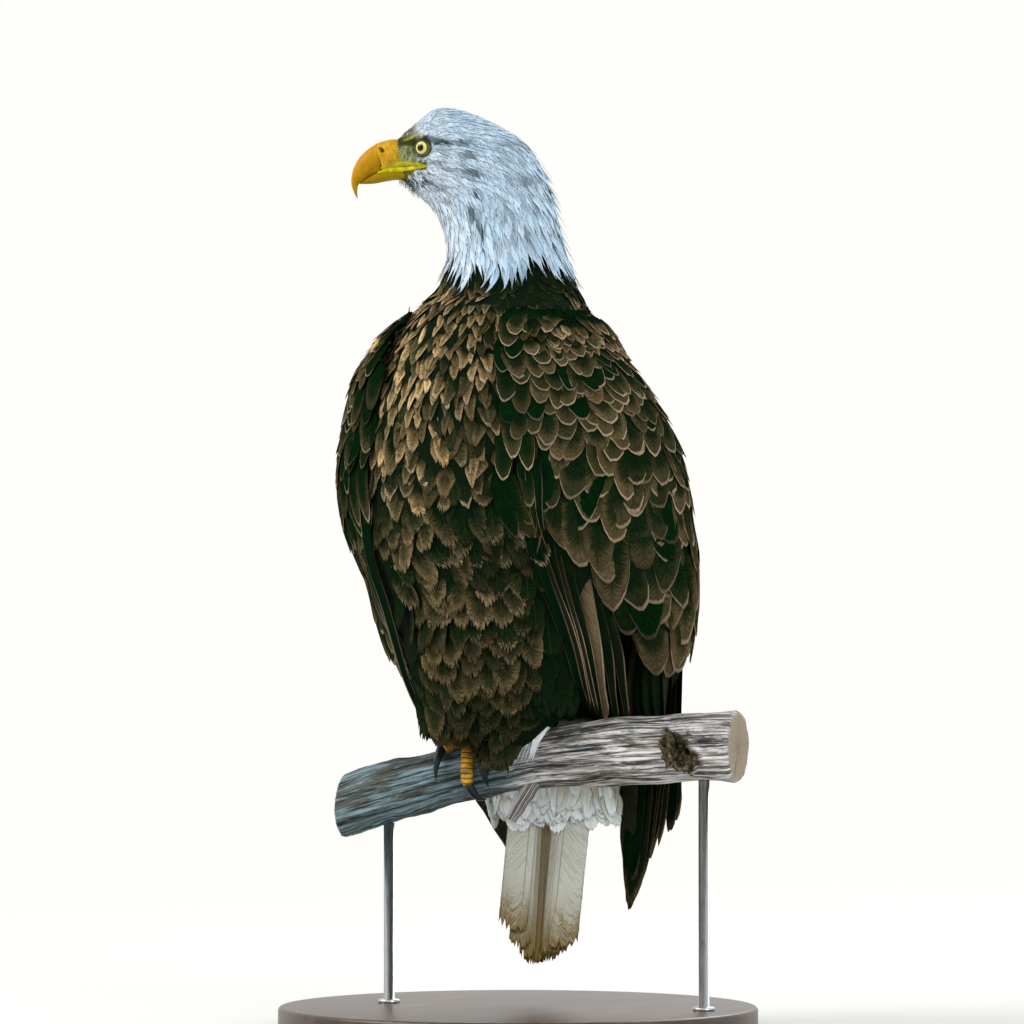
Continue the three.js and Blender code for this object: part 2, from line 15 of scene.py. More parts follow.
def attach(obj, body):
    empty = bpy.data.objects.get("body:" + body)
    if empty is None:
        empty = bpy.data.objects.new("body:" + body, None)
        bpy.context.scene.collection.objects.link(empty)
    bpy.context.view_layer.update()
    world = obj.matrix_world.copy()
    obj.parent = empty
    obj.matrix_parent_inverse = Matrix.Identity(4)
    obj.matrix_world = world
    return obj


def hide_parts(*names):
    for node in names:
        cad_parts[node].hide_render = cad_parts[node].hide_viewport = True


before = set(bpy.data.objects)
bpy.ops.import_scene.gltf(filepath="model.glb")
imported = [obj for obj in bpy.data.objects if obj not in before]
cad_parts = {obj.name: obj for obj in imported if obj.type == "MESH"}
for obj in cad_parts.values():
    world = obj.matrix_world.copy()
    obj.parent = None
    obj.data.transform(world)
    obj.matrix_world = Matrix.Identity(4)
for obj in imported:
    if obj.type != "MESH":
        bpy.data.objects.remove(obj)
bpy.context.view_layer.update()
mm = 0.001
sides = {"left": 1, "right": -1}

# Where the body's parts are: the same named sizes as the part's own source.

pose = {"headTurn": -52, "headAxisY": -10, "perchTurn": 18, "twistFrom": 530, "twistTo": 330}

# front y and z, back y and z, half width
trunkStations = [
    (-71, 744.8, 54, 744.8, 72), (-112, 712, 56, 718, 100), (-146, 642, 78, 652, 143),
    (-154, 562, 104, 570, 163), (-145, 482, 110, 488, 160), (-120, 408, 92, 410, 126),
    (-94, 350, 56, 352, 92), (-66, 316, 20, 318, 62), (-50, 303, -6, 304, 34),
]
# the same, and the middle's x
thighStations = {
    "left": [(-100, 430, 0, 436, 44, 52), (-96, 385, 6, 390, 47, 45), (-82, 335, 10, 338, 44, 36),
        (-70, 304, -4, 307, 37, 18), (-64, 276, -49, 279, 24, -4)],
    "right": [(-100, 430, 0, 436, 44, -58), (-96, 385, 6, 390, 47, -58), (-82, 335, 10, 338, 43, -55),
        (-68, 303, -4, 306, 33, -51), (-58, 290, -30, 294, 18, -50)],
}
tailCovertStations = [
    (56, 332, 104, 336, 36, 4), (46, 300, 98, 306, 52, 8), (44, 262, 84, 266, 68, 12),
    (46, 236, 76, 240, 72, 13), (49, 214, 71, 216, 60, 10), (54, 200, 66, 201, 40, 8),
]
hoodStations = [
    (-116.5, 848, -117, 890, 15), (-108, 838.5, -99, 905.5, 27), (-93, 828, -72, 922, 36),
    (-78, 812.5, -30, 913, 43), (-71, 793.5, 20, 886, 51), (-69, 775, 44, 838, 58),
    (-71, 759, 57, 785, 66), (-77, 745.2, 69, 745.2, 73),
]
# height, middle y, half width, depth in front, depth behind
hullStations = [
    (715, -31, 101, 84, 84), (700, -33, 118, 97, 94), (670, -36, 145, 110, 106),
    (650, -35, 162, 115, 112), (600, -20, 186, 128, 128), (550, -9, 195, 147, 140),
    (500, 2, 193, 147, 140), (450, 27, 181, 138, 125), (400, 43, 170, 112, 112),
    (350, 61, 154, 81, 100), (320, 70, 148, 60, 92),
]
# height, then degrees of the front and back edges: 0 is the side, 90 the front, -90 the back
wingEdges = [
    (715, 42, -60), (680, 48, -66), (620, 54, -72), (540, 56, -83), (485, 56, -87),
    (430, 53, -88), (390, 54, -88), (345, 58, -88),
]
wingThickness = [(715, 3), (680, 15), (620, 26), (540, 24), (470, 10), (430, 5), (345, 4)]
flight = {
    "root": {"height": 428, "middle": 40, "half": 162, "front": 22, "back": 103, "from": 32, "to": -87},
    "bend": {"height": 340, "middle": 56, "half": 151, "front": 38, "back": 93, "from": 50, "to": -87},
    "last": 14,
    # feather number, then x, y, z of its tip
    "tips": {
        "left": [(0, 55, 116, 150), (2, 57, 118, 114), (4, 66, 124, 150), (6, 84, 128, 180),
        (8, 100, 131, 205), (10, 78, 140, 214), (12, 45, 146, 212), (14, 9, 144, 206)],
        "right": [(0, -34, 116, 140), (2, -27, 118, 97), (4, -36, 123, 140), (6, -50, 127, 180),
        (8, -72, 130, 216), (10, -62, 138, 222), (12, -40, 144, 216), (14, -9, 144, 210)],
    },
}
perch = {
    # along the branch, height of its centre, radius
    "stations": [(-185, 222, 33), (-125, 239, 32.5), (-60, 255, 29.5), (-5, 266, 29), (45, 274, 32),
        (100, 279, 34.5), (172, 284, 35), (232, 286, 36)],
    "knotAlong": 182, "knotProud": 13,
    "twigAlong": 24, "twigRadius": 8, "twigLength": 44,
}


# Arithmetic on arrays of points.

def unit(vectors):
    return vectors / np.maximum(np.linalg.norm(vectors, axis=-1, keepdims=True), 1e-9)


def smooth(low, high, x):
    t = np.clip((np.asarray(x, float) - low) / (high - low), 0, 1)
    return t * t * (3 - 2 * t)


def fullTurn(count):
    return np.linspace(0, 2 * np.pi, count, endpoint=False)


def turned(points, degrees):
    c, s = np.cos(np.radians(degrees)), np.sin(np.radians(degrees))
    x, y, z = points[..., 0], points[..., 1], points[..., 2]
    return np.stack([c * x - s * y, s * x + c * y, z], -1)


def hipTurned(points):
    return turned(points, pose["perchTurn"])


# the hips follow the branch, and the chest faces forwards; -1 turns a point back
def twisted(points, way=1):
    share = smooth(-pose["twistFrom"], -pose["twistTo"], -points[..., 2])
    return turned(points, way * pose["perchTurn"] * share)


def fromHead(points):
    return turned(np.asarray(points, float), pose["headTurn"]) + [0, pose["headAxisY"], 0]


def toHead(points):
    return turned(points - [0, pose["headAxisY"], 0], -pose["headTurn"])


# reads a table of rows smoothly at any value of its first column
def smoothTable(rows):
    table = np.array(sorted(rows), float)
    keys, values = table[:, 0], table[:, 1:]
    slopes = np.empty_like(values)
    slopes[1:-1] = (values[2:] - values[:-2]) / (keys[2:] - keys[:-2])[:, None]
    slopes[0] = (values[1] - values[0]) / (keys[1] - keys[0])
    slopes[-1] = (values[-1] - values[-2]) / (keys[-1] - keys[-2])

    def readAt(x):
        x = np.clip(np.asarray(x, float), keys[0], keys[-1])
        i = np.clip(np.searchsorted(keys, x) - 1, 0, len(keys) - 2)
        span = (keys[i + 1] - keys[i])[..., None]
        t = (x - keys[i])[..., None] / span
        rise = slopes[i] * span * (t ** 3 - 2 * t ** 2 + t) + slopes[i + 1] * span * (t ** 3 - t ** 2)
        return values[i] + (values[i + 1] - values[i]) * (3 * t ** 2 - 2 * t ** 3) + rise
    return readAt


# weights of a smooth curve through `count` points, at each t from 0 to 1
def curveWeights(count, t):
    t = np.clip(np.asarray(t, float).ravel(), 0, 1) * (count - 1)
    i = np.minimum(t.astype(int), count - 2)
    f = t - i
    parts = [-f / 2 + f * f - f ** 3 / 2, 1 - 2.5 * f * f + 1.5 * f ** 3,
            f / 2 + 2 * f * f - 1.5 * f ** 3, -f * f / 2 + f ** 3 / 2]
    weights = np.zeros((len(t), count + 2))
    for k, part in enumerate(parts):
        weights[np.arange(len(t)), i + k] += part
    weights[:, 1] += 2 * weights[:, 0]
    weights[:, 2] -= weights[:, 0]
    weights[:, -2] += 2 * weights[:, -1]
    weights[:, -3] -= weights[:, -1]
    return weights[:, 1:-1]


def curveAt(table, t):
    return curveWeights(len(table), t) @ np.array(table, float)


# rings of a rounded body through stations; grow moves the surface out, and may change along it
def loftRings(stations, rows, around, grow=0, place=lambda points: points):
    t = np.linspace(0, 1, rows)
    at = curveAt([row if len(row) > 5 else (*row, 0) for row in stations], t)
    front, back = at[:, [5, 0, 1]], at[:, [5, 2, 3]]
    centre, arm = (front + back) / 2, (back - front) / 2
    length = np.linalg.norm(arm, axis=1, keepdims=True)
    grow = np.broadcast_to(grow(t) if callable(grow) else grow, t.shape)[:, None]
    arm = arm / length * np.maximum(length + grow, 0.4)
    half = np.maximum(at[:, 4:5] + grow, 0.4)
    angle = fullTurn(around)
    rings = centre[:, None] + arm[:, None] * np.cos(angle)[:, None]
    rings[..., 0] += np.sin(angle) * half
    return place(rings)


# quads of a grid of rows and columns, closed round the columns if wrap
def gridQuads(rows, columns, wrap=False):
    i, j = np.meshgrid(np.arange(rows - 1), np.arange(columns if wrap else columns - 1), indexing="ij")
    here, beyond = i * columns, (j + 1) % columns
    return np.stack([here + j, here + beyond, here + columns + beyond, here + columns + j], -1).reshape(-1, 4)


# a point on the half-and-half ellipse round the body, moved out along its normal
def onSection(middle, half, front, back, height, degrees, out, side):
    angle = np.radians(degrees)
    depth = np.where(np.asarray(degrees) > 0, front, back)
    level = np.asarray(height, float)
    point = np.stack(np.broadcast_arrays(half * np.cos(angle), middle - depth * np.sin(angle), level), -1)
    normal = np.stack(np.broadcast_arrays(np.cos(angle) / half, -np.sin(angle) / depth, 0 * level), -1)
    point = point + unit(normal) * np.asarray(out, float)[..., None]
    point[..., 0] *= side
    return twisted(point)


# soft unevenness from a few seeded waves, between about -1 and 1
def ripples(points, size, seed, count=14):
    chance = np.random.default_rng(seed)
    total = np.zeros(points.shape[:-1])
    for _ in range(count):
        heading = unit(chance.normal(size=3)) * 2 * np.pi / (size * (0.6 + 0.9 * chance.random()))
        total += np.sin(points @ heading + chance.random() * 2 * np.pi)
    return total / math.sqrt(count)


hullAt = smoothTable(hullStations)
wingEdgesAt = smoothTable(wingEdges)
wingThicknessAt = smoothTable(wingThickness)
perchAt = smoothTable(perch["stations"])


def onHull(height, degrees, out, side):
    return onSection(*np.moveaxis(hullAt(height), -1, 0), height, degrees, out, side)


def onHullNormal(height, degrees, side):
    up = onHull(height + 2, degrees, 0, side) - onHull(height - 2, degrees, 0, side)
    across = onHull(height, degrees + 1, 0, side) - onHull(height, degrees - 1, 0, side)
    return unit(np.cross(up, across)) * side


perchAlong = hipTurned(np.array([1.0, 0, 0]))
perchAhead = hipTurned(np.array([0, -1.0, 0]))


# a point round the branch: degrees from its top, positive towards the front
def roundPerch(along, degrees, over):
    along, degrees, over = np.broadcast_arrays(*(np.asarray(v, float) for v in (along, degrees, over)))
    at = perchAt(along)
    angle = np.radians(degrees)
    reach = at[..., 1] + over
    point = perchAlong * along[..., None] + perchAhead * (reach * np.sin(angle))[..., None]
    point[..., 2] = at[..., 0] + reach * np.cos(angle)
    return point


# Meshes.

def addObject(name, data):
    made = bpy.data.objects.new(name, data)
    bpy.context.scene.collection.objects.link(made)
    return made


def newPiece(name, points, faces, material=None, slotName=None, nodes=()):
    mesh = bpy.data.meshes.new(name)
    if isinstance(faces, np.ndarray):
        mesh.vertices.add(len(points))
        mesh.vertices.foreach_set("co", (np.asarray(points) * mm).astype(np.float32).ravel())
        mesh.loops.add(faces.size)
        mesh.loops.foreach_set("vertex_index", faces.astype(np.int32).ravel())
        mesh.polygons.add(len(faces))
        mesh.polygons.foreach_set("loop_start", np.arange(0, faces.size, faces.shape[1], dtype=np.int32))
        mesh.update(calc_edges=True)
    else:
        mesh.from_pydata((np.asarray(points) * mm).tolist(), [], faces)
    mesh.polygons.foreach_set("use_smooth", np.ones(len(mesh.polygons), bool))
    piece = addObject(name, mesh)
    if slotName:
        mesh.materials.append(material)
        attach(piece, "root")
    if nodes:
        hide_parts(*nodes)
    return piece


def readOut(items, key, width, kind=np.float32):
    values = np.empty(len(items) * width, kind)
    items.foreach_get(key, values)
    return values.reshape(-1, width)


def setUv(piece, name, perPoint):
    corners = readOut(piece.data.loops, "vertex_index", 1, np.int32).ravel()
    layer = piece.data.uv_layers.new(name=name)
    layer.data.foreach_set("uv", perPoint.reshape(-1, 2)[corners].astype(np.float32).ravel())


# one number at each point, or a colour with its alpha
def setValues(piece, name, perPoint):
    values = np.asarray(perPoint, np.float32)
    kind, key = ("FLOAT", "value") if values.ndim == 1 else ("FLOAT_COLOR", "color")
    piece.data.attributes.new(name, kind, "POINT").data.foreach_set(key, values.ravel())


# numbers that change along the rows and numbers that change along the columns, as pairs
def gridOf(rows, columns):
    return np.stack(np.meshgrid(rows, columns, indexing="ij"), -1)


# rings as points and faces, with a face across each end
def cappedRings(rings):
    rows, around = rings.shape[:2]
    faces = gridQuads(rows, around, wrap=True).tolist()
    faces.append(list(range(around - 1, -1, -1)))
    faces.append([(rows - 1) * around + i for i in range(around)])
    return rings.reshape(-1, 3), faces


# several sets of points and faces as one
def joined(parts):
    points, faces = [], []
    for somePoints, someFaces in parts:
        start = sum(len(some) for some in points)
        points.append(somePoints)
        faces += [[start + i for i in face] for face in someFaces]
    return np.concatenate(points), faces


# the first direction at angle 0, and the second a quarter turn on
def spokes(first, second, angle):
    return first[:, None] * np.cos(angle)[:, None] + second[:, None] * np.sin(angle)[:, None]


def tubeRings(points, radii, around, up=(0, 0, 1)):
    ahead = unit(np.gradient(points, axis=0))
    across = unit(np.cross(ahead, np.asarray(up, float)))
    return points[:, None] + spokes(across, np.cross(across, ahead), fullTurn(around)) * radii[:, None, None]


# rings from a profile of radius and height, round an upright axis
def latheRings(profile, around, x=0, y=0):
    return np.array([[(x + r * math.cos(a), y + r * math.sin(a), z) for a in fullTurn(around)]
            for r, z in profile])


# Materials.

# The wiring of one material: each call adds a node and returns its output.
class Wiring:
    def __init__(self, name, roughness, specular=0.5, **sockets):
        self.material = bpy.data.materials.new(name)
        self.material.use_nodes = True
        self.tree = self.material.node_tree
        self.shader = self.tree.nodes["Principled BSDF"]
        for key, value in {"Roughness": roughness, "Specular_IOR_Level": specular, **sockets}.items():
            self.shader.inputs[key.replace("_", " ")].default_value = value

    def put(self, value, socket):
        if isinstance(value, bpy.types.NodeSocket):
            self.tree.links.new(value, socket)
        elif socket.type == "RGBA" and len(value) == 3:
            socket.default_value = (*value, 1)
        else:
            socket.default_value = value

    def node(self, kind, inputs=None, **settings):
        made = self.tree.nodes.new("ShaderNode" + kind)
        for key, value in settings.items():
            setattr(made, key, value)
        for key, value in (inputs or {}).items():
            self.put(value, made.inputs[key])
        return made.outputs

    def maths(self, operation, a, b=0.0, c=0.0):
        return self.node("Math", {0: a, 1: b, 2: c}, operation=operation)[0]

    def times(self, a, b):
        return self.maths("MULTIPLY", a, b)

    def timesPlus(self, a, b, c):
        return self.maths("MULTIPLY_ADD", a, b, c)

    def ramp(self, value, low, high, lowTo=0.0, highTo=1.0):
        return self.node("MapRange", {"Value": value, "From Min": low, "From Max": high, "To Min": lowTo,
                "To Max": highTo}, interpolation_type="SMOOTHSTEP")["Result"]

    def mix(self, share, a, b, kind="MIX"):
        return self.node("Mix", {"Factor": share, 6: a, 7: b}, data_type="RGBA", blend_type=kind,
                clamp_factor=True)[2]

    # each colour goes over the ones before it, by its share
    def layers(self, colour, *pairs):
        for share, over in pairs:
            colour = self.mix(share, colour, over)
        return colour

    def shaded(self, colour, amount):
        return self.mix(1.0, colour, self.join(amount, amount, amount), "MULTIPLY")

    def attribute(self, name):
        return self.node("Attribute", attribute_name=name)

    def split(self, vector):
        return self.node("SeparateXYZ", {0: vector})

    def join(self, x, y, z=0.0):
        return self.node("CombineXYZ", {0: x, 1: y, 2: z})[0]

    def uv(self, name):
        return self.split(self.node("UVMap", uv_map=name)[0])

    def place(self, scale=(1, 1, 1)):
        return self.node("Mapping", {"Vector": self.node("TexCoord")["Object"], "Scale": scale})[0]

    def noise(self, vector, scale=1.0, detail=3.0, rough=0.5, twist=0.0):
        return self.node("TexNoise", {"Vector": vector, "Scale": scale, "Detail": detail, "Roughness": rough,
                "Distortion": twist})["Fac"]

    # noise over two or three values, each with its own stretch
    def streaks(self, *pairs, **settings):
        return self.noise(self.join(*(self.times(value, stretch) for value, stretch in pairs)), **settings)

    def bump(self, height, depth, strength=1.0, **under):
        return self.node("Bump", {"Distance": depth * mm, "Strength": strength, "Height": height, **under})[0]

    # the colour and the relief go to the shader
    def finish(self, colour, height, depth, strength=1.0, **under):
        self.put(colour, self.shader.inputs["Base Color"])
        self.put(self.bump(height, depth, strength, **under), self.shader.inputs["Normal"])
        return self.material


# A feather's own map has its width as x and its length as y. tone is its colour, with the strength
# of its pale rim as alpha, and chance is a number of its own.
def featherMaterial(name, look):
    wire = Wiring(name, look["roughness"], look["specular"])
    x, y, _ = wire.uv("vane")
    tone = wire.attribute("tone")
    chance = wire.attribute("chance")["Fac"]
    out = wire.maths("ABSOLUTE", wire.timesPlus(x, 2.0, -1.0))
    barb = wire.timesPlus(out, -look["slant"], y)
    # hackles show strands along their length, and the others slanting barbs
    lines = [(barb, look["barbs"]), (out, 2.2)]
    if "strands" in look:
        lines = [(x, look["strands"]), (y, look["barbs"])]
    streak = wire.streaks(*lines, (chance, 60.0), rough=0.6)
    broad = wire.streaks((barb, look["barbs"] * 0.16), (out, 1.4), (chance, 37.0), detail=2.0)
    # darker towards the root, where the feather above casts its shade
    rise = wire.ramp(wire.timesPlus(broad, 0.3, wire.maths("ADD", y, -0.15)), *look["rootEnd"])
    colour = wire.mix(rise, look["rootColour"], tone["Color"])
    # the middle of the vane keeps a darker heart
    heart = wire.times(wire.ramp(wire.timesPlus(streak, 0.3, out), *look["heartSide"]),
            wire.ramp(wire.timesPlus(streak, 0.2, y), *look["heartEnd"]))
    colour = wire.mix(wire.times(heart, look["heart"]), colour, look["heartColour"])
    # streaks along the barbs
    colour = wire.shaded(colour, wire.ramp(streak, 0.3, 0.72, 1 - look["streak"], 1 + look["streak"]))
    # pale rim round the tip
    sideEdge = wire.times(out, wire.ramp(y, 0.25, 0.8, 0.7 * look["rimSide"], look["rimSide"]))
    edge = wire.maths("MAXIMUM", wire.times(y, look["rimTip"]), sideEdge)
    edge = wire.timesPlus(wire.maths("ADD", streak, -0.5), look["rimRagged"], edge)
    colour = wire.mix(wire.times(wire.ramp(edge, *look["rim"]), tone["Alpha"]), colour, look["rimColour"])
    # the shaft
    shaft = wire.ramp(out, look["shaft"], look["shaft"] * 0.4)
    shown = wire.times(shaft, wire.ramp(y, 0.98, 0.8, 0, look["shaftShow"]))
    colour = wire.mix(shown, colour, look["shaftColour"])
    return wire.finish(colour, wire.timesPlus(shaft, 1.2, streak), look["bump"], 0.9)


bodyLook = {
    "roughness": 0.8, "specular": 0.0, "slant": 0.34, "barbs": 42.0, "streak": 0.6, "bump": 0.7,
    "rootEnd": (0.25, 0.8), "rootColour": (0.002, 0.010, 0.0035),
    "heart": 0.45, "heartSide": (0.95, 0.2), "heartEnd": (1.08, 0.8), "heartColour": (0.003, 0.0115, 0.004),
    "rim": (0.8, 1.03), "rimRagged": 0.34, "rimSide": 0.0, "rimTip": 1.0, "rimColour": (0.56, 0.43, 0.27),
    "shaft": 0.05, "shaftShow": 0.25, "shaftColour": (0.08, 0.055, 0.03),
}
bellyLook = dict(bodyLook, heart=0.7, heartSide=(1.1, 0.3), heartEnd=(1.04, 0.8), rim=(0.88, 1.08),
        rimColour=(0.5, 0.38, 0.24))
wingLook = dict(
    bodyLook, roughness=0.7, slant=0.3, barbs=70.0, streak=0.45, bump=0.3, rootEnd=(0.2, 0.85),
    rootColour=(0.001, 0.009, 0.002), heart=0.85, heartSide=(1.02, 0.55), heartEnd=(1.0, 0.76),
    heartColour=(0.002, 0.0115, 0.0035), rim=(0.94, 0.985), rimRagged=0.03, rimSide=0.985,
    rimColour=(0.52, 0.4, 0.26), shaft=0.04, shaftShow=0.4, shaftColour=(0.006, 0.008, 0.003),
)
flightLook = dict(
    wingLook, roughness=0.65, specular=0.004, slant=0.16, barbs=150.0, streak=0.4, rootEnd=(0.0, 0.3),
    rootColour=(0.001, 0.006, 0.002), heart=0.2, heartSide=(0.75, 0.0), heartEnd=(0.99, 0.72),
    heartColour=(0.001, 0.009, 0.003), rim=(0.955, 1.0), rimRagged=0.05, rimSide=1.0,
    rimColour=(0.22, 0.15, 0.09), shaft=0.05, shaftShow=0.6, shaftColour=(0.03, 0.022, 0.012),
)
tailLook = dict(
    flightLook, specular=0.1, slant=0.14, barbs=120.0, streak=0.2, rootEnd=(0.0, 0.2),
    rootColour=(0.45, 0.44, 0.36), heart=0.0, rim=(0.72, 1.02), rimRagged=0.7, rimSide=0.85,
    rimColour=(0.17, 0.11, 0.018), shaftShow=0.7, shaftColour=(0.3, 0.24, 0.1),
)
whiteLook = dict(
    tailLook, roughness=0.8, specular=0.05, slant=0.3, barbs=1.6, strands=12.0, streak=0.22,
    rootEnd=(0.0, 0.4), rootColour=(0.42, 0.51, 0.59), rim=(0.5, 1.0), rimRagged=0.3, rimSide=0.6,
    rimColour=(0.84, 0.92, 0.97), shaft=0.2, shaftShow=0.1, shaftColour=(0.32, 0.38, 0.4),
)


# The camera.

camera = {"azimuth": 38, "height": 518, "distance": 7000, "aside": -6, "frameWidth": 1024, "sensor": 36}


# a camera or lamp that looks along a direction
def aimed(name, data, place, ahead):
    made = addObject(name, data)
    made.location = place
    made.rotation_mode = "QUATERNION"
    made.rotation_quaternion = ahead.to_track_quat("-Z", "Y")
    return made


def buildCamera():
    azimuth = math.radians(camera["azimuth"])
    back = Vector((math.sin(azimuth), -math.cos(azimuth), 0))
    across = Vector((math.cos(azimuth), math.sin(azimuth), 0))
    data = bpy.data.cameras.new("camera")
    data.sensor_width = camera["sensor"]
    data.lens = data.sensor_width * camera["distance"] / camera["frameWidth"]
    data.clip_start, data.clip_end = 0.1, 100
    place = back * camera["distance"] * mm + across * camera["aside"] * mm
    place.z = camera["height"] * mm
    bpy.context.scene.camera = aimed("camera", data, place, -back)


buildCamera()
print("camera in place")


# The stage: a round pale floor that rises into a bowl, and soft light. Its sizes are in metres.

stage = {
    "flat": [0.6, 1.5, 3.0, 6.0, 11.0], "bowl": 4.0, "height": 9.0, "steps": 24, "around": 96,
    "floorColour": (0.64, 0.638, 0.625), "grainColour": (0.6, 0.6, 0.58), "glowColour": (1.0, 0.992, 0.965),
    "glow": 1.0, "skyColour": (0.95, 0.98, 1.0, 1), "sky": 0.9, "aim": (0, 0, 0.5),
    # name, place, size, watts, colour
    "lamps": [("keyLamp", (-2.6, -3.0, 3.6), 2.4, 150, (1.0, 0.98, 0.95)),
        ("sideLamp", (4.2, -1.2, 1.6), 2.2, 60, (0.96, 0.98, 1.0)),
        ("backLamp", (-0.5, 3.6, 3.2), 2.2, 90, (1.0, 0.99, 0.97))],
}


def buildStage():
    around, edge, bowl = stage["around"], stage["flat"][-1], stage["bowl"]
    profile = [(radius, 0.0) for radius in stage["flat"]]
    for i in range(1, stage["steps"] + 1):
        angle = math.pi / 2 * i / stage["steps"]
        profile.append((edge + bowl * math.sin(angle), bowl * (1 - math.cos(angle))))
    profile.append((edge + bowl, stage["height"]))
    rings = latheRings(profile, around) / mm
    points = np.concatenate([rings.reshape(-1, 3), [[0, 0, 0]]])
    faces = gridQuads(len(rings), around, wrap=True)[:, ::-1].tolist()
    faces += [[len(points) - 1, i, (i + 1) % around] for i in range(around)]
    floor = newPiece("floor", points, faces)
    wire = Wiring("paleFloor", 0.9)
    x, y, _ = wire.split(wire.place())
    far = wire.maths("SQRT", wire.maths("ADD", wire.times(x, x), wire.times(y, y)))
    grain = wire.noise(wire.place(), 40.0)
    colour = wire.mix(wire.times(grain, 0.05), stage["floorColour"], stage["grainColour"])
    wire.put(colour, wire.shader.inputs["Base Color"])
    glow = wire.node("Emission", {"Color": stage["glowColour"], "Strength": stage["glow"]})[0]
    blend = wire.node("MixShader", {0: wire.ramp(far, 0.9, 3.2), 1: wire.shader.outputs[0], 2: glow})[0]
    wire.put(blend, wire.tree.nodes["Material Output"].inputs["Surface"])
    floor.data.materials.append(wire.material)
    for name, place, size, watts, colour in stage["lamps"]:
        data = bpy.data.lights.new(name, "AREA")
        data.shape, data.size, data.energy, data.color = "DISK", size, watts, colour
        lamp = aimed(name, data, place, Vector(stage["aim"]) - Vector(place))
        lamp.visible_camera = False
    world = bpy.data.worlds.new("softSky")
    world.use_nodes = True
    sky = world.node_tree.nodes["Background"]
    sky.inputs["Color"].default_value = stage["skyColour"]
    sky.inputs["Strength"].default_value = stage["sky"]
    bpy.context.scene.world = world
    bpy.context.scene.view_settings.view_transform = "Standard"


buildStage()
print("stage and lamps in place")


# The skin: one mesh under the feathers, inside the solids by the coat's depth.

skin = {
    "voxel": 3.0, "trunkDepth": 6.0, "thighDepth": 5.0, "tailDepth": 4.0, "wingDepth": 4.0,
    "neckDepth": 6.0, "faceDepth": 0.8, "smoothing": 4,
    # the face alone, inside the crown's and chin's feathers
    "face": [(-115.5, 851, -117, 889, 14.8), (-104.5, 845.5, -98.5, 903.5, 22),
        (-91.5, 831, -71.5, 922.5, 33.5), (-77.5, 814, -30, 914.5, 41.5)],
    "cuts": 3,
}
# How the face is shaped on both sides: place along and up, spread, and how far out
faceForms = [
    (-90, 880.3, 10.6, 10.8, 4, -2.2), (-90, 880.3, 8.0, 8.6, 4, -5.0),  # the socket and its floor
    (-106, 876, 9, 10, 2, -2.6),  # hollow lores
    (-84, 869, 13, 6, 2, 1.6), (-76, 884, 9, 6, 2, 0.8),  # cheek, and behind the eye
    (-99, 872, 5, 3, 2, 0.7), (-88, 894, 8, 3.5, 2, 1.2),
]
browRidge = {"line": [(-111, 887.9), (-103, 889.6), (-97, 892), (-91, 893.3), (-84, 891.2)], "spread": 1.9,
        "proud": 3.8}


def wingShell(side):
    rows, columns, top = 34, 26, 709
    t, s = np.linspace(0, 1, columns), np.linspace(0, 1, rows)[:, None]
    height = top + (372 + 30 * (1 - t) ** 1.5 - top) * s
    edges = wingEdgesAt(height)
    degrees = edges[..., 0] - 1.5 + (edges[..., 1] - edges[..., 0] + 3) * t
    deep = wingThicknessAt(height)[..., 0]
    inset = np.minimum(skin["wingDepth"], deep * 0.45)
    rim = np.minimum(1, 4 * np.minimum(t, 1 - t)) ** 0.7
    under = np.maximum(2.6 + (deep - 2.6) * rim + 2.0, inset + 1.5)
    outer, inner = (onHull(height, degrees, -depth, side).reshape(-1, 3) for depth in (inset, under))
    quads = gridQuads(rows, columns)
    faces = np.concatenate([quads, quads[:, ::-1] + len(outer)]).tolist()
    ring = [*range(columns), *range(2 * columns - 1, rows * columns, columns),
            *range(rows * columns - 2, (rows - 1) * columns - 1, -1),
            *range((rows - 2) * columns, 0, -columns)]
    for a, b in zip(ring, ring[1:] + ring[:1]):
        faces.append([b, a, a + len(outer), b + len(outer)])
    return np.concatenate([outer, inner]), [face[::side] for face in faces]


def hoodDepth(t):
    return -(skin["faceDepth"] + (skin["neckDepth"] - skin["faceDepth"]) * smooth(0.12, 0.6, t))


# each rounded shell: its stations, how far its surface moves out, and what places it
shells = {
    "hood": (skin["face"] + hoodStations[len(skin["face"]):] + [(-80, 730, 74, 730, 76)], hoodDepth, fromHead),
    "trunk": (trunkStations, -skin["trunkDepth"], twisted),
    "tail": (tailCovertStations, -skin["tailDepth"], hipTurned),
    "left": (thighStations["left"], -skin["thighDepth"], twisted),
    "right": (thighStations["right"], -skin["thighDepth"], twisted),
}


def shellRings(key, rows, around):
    stations, grow, place = shells[key]
    return loftRings(stations, rows, around, grow, place)


# distance from points on the side of the face to a drawn line, and how far along it they are
def toLine(y, z, line):
    best, along = np.full(y.shape, 1e9), np.zeros(y.shape)
    for i, ((y0, z0), (y1, z1)) in enumerate(zip(line, line[1:])):
        t = np.clip(((y - y0) * (y1 - y0) + (z - z0) * (z1 - z0)) / ((y1 - y0) ** 2 + (z1 - z0) ** 2), 0, 1)
        away = np.hypot(y - y0 - t * (y1 - y0), z - z0 - t * (z1 - z0))
        along = np.where(away < best, (i + t) / (len(line) - 1), along)
        best = np.minimum(best, away)
    return best, along


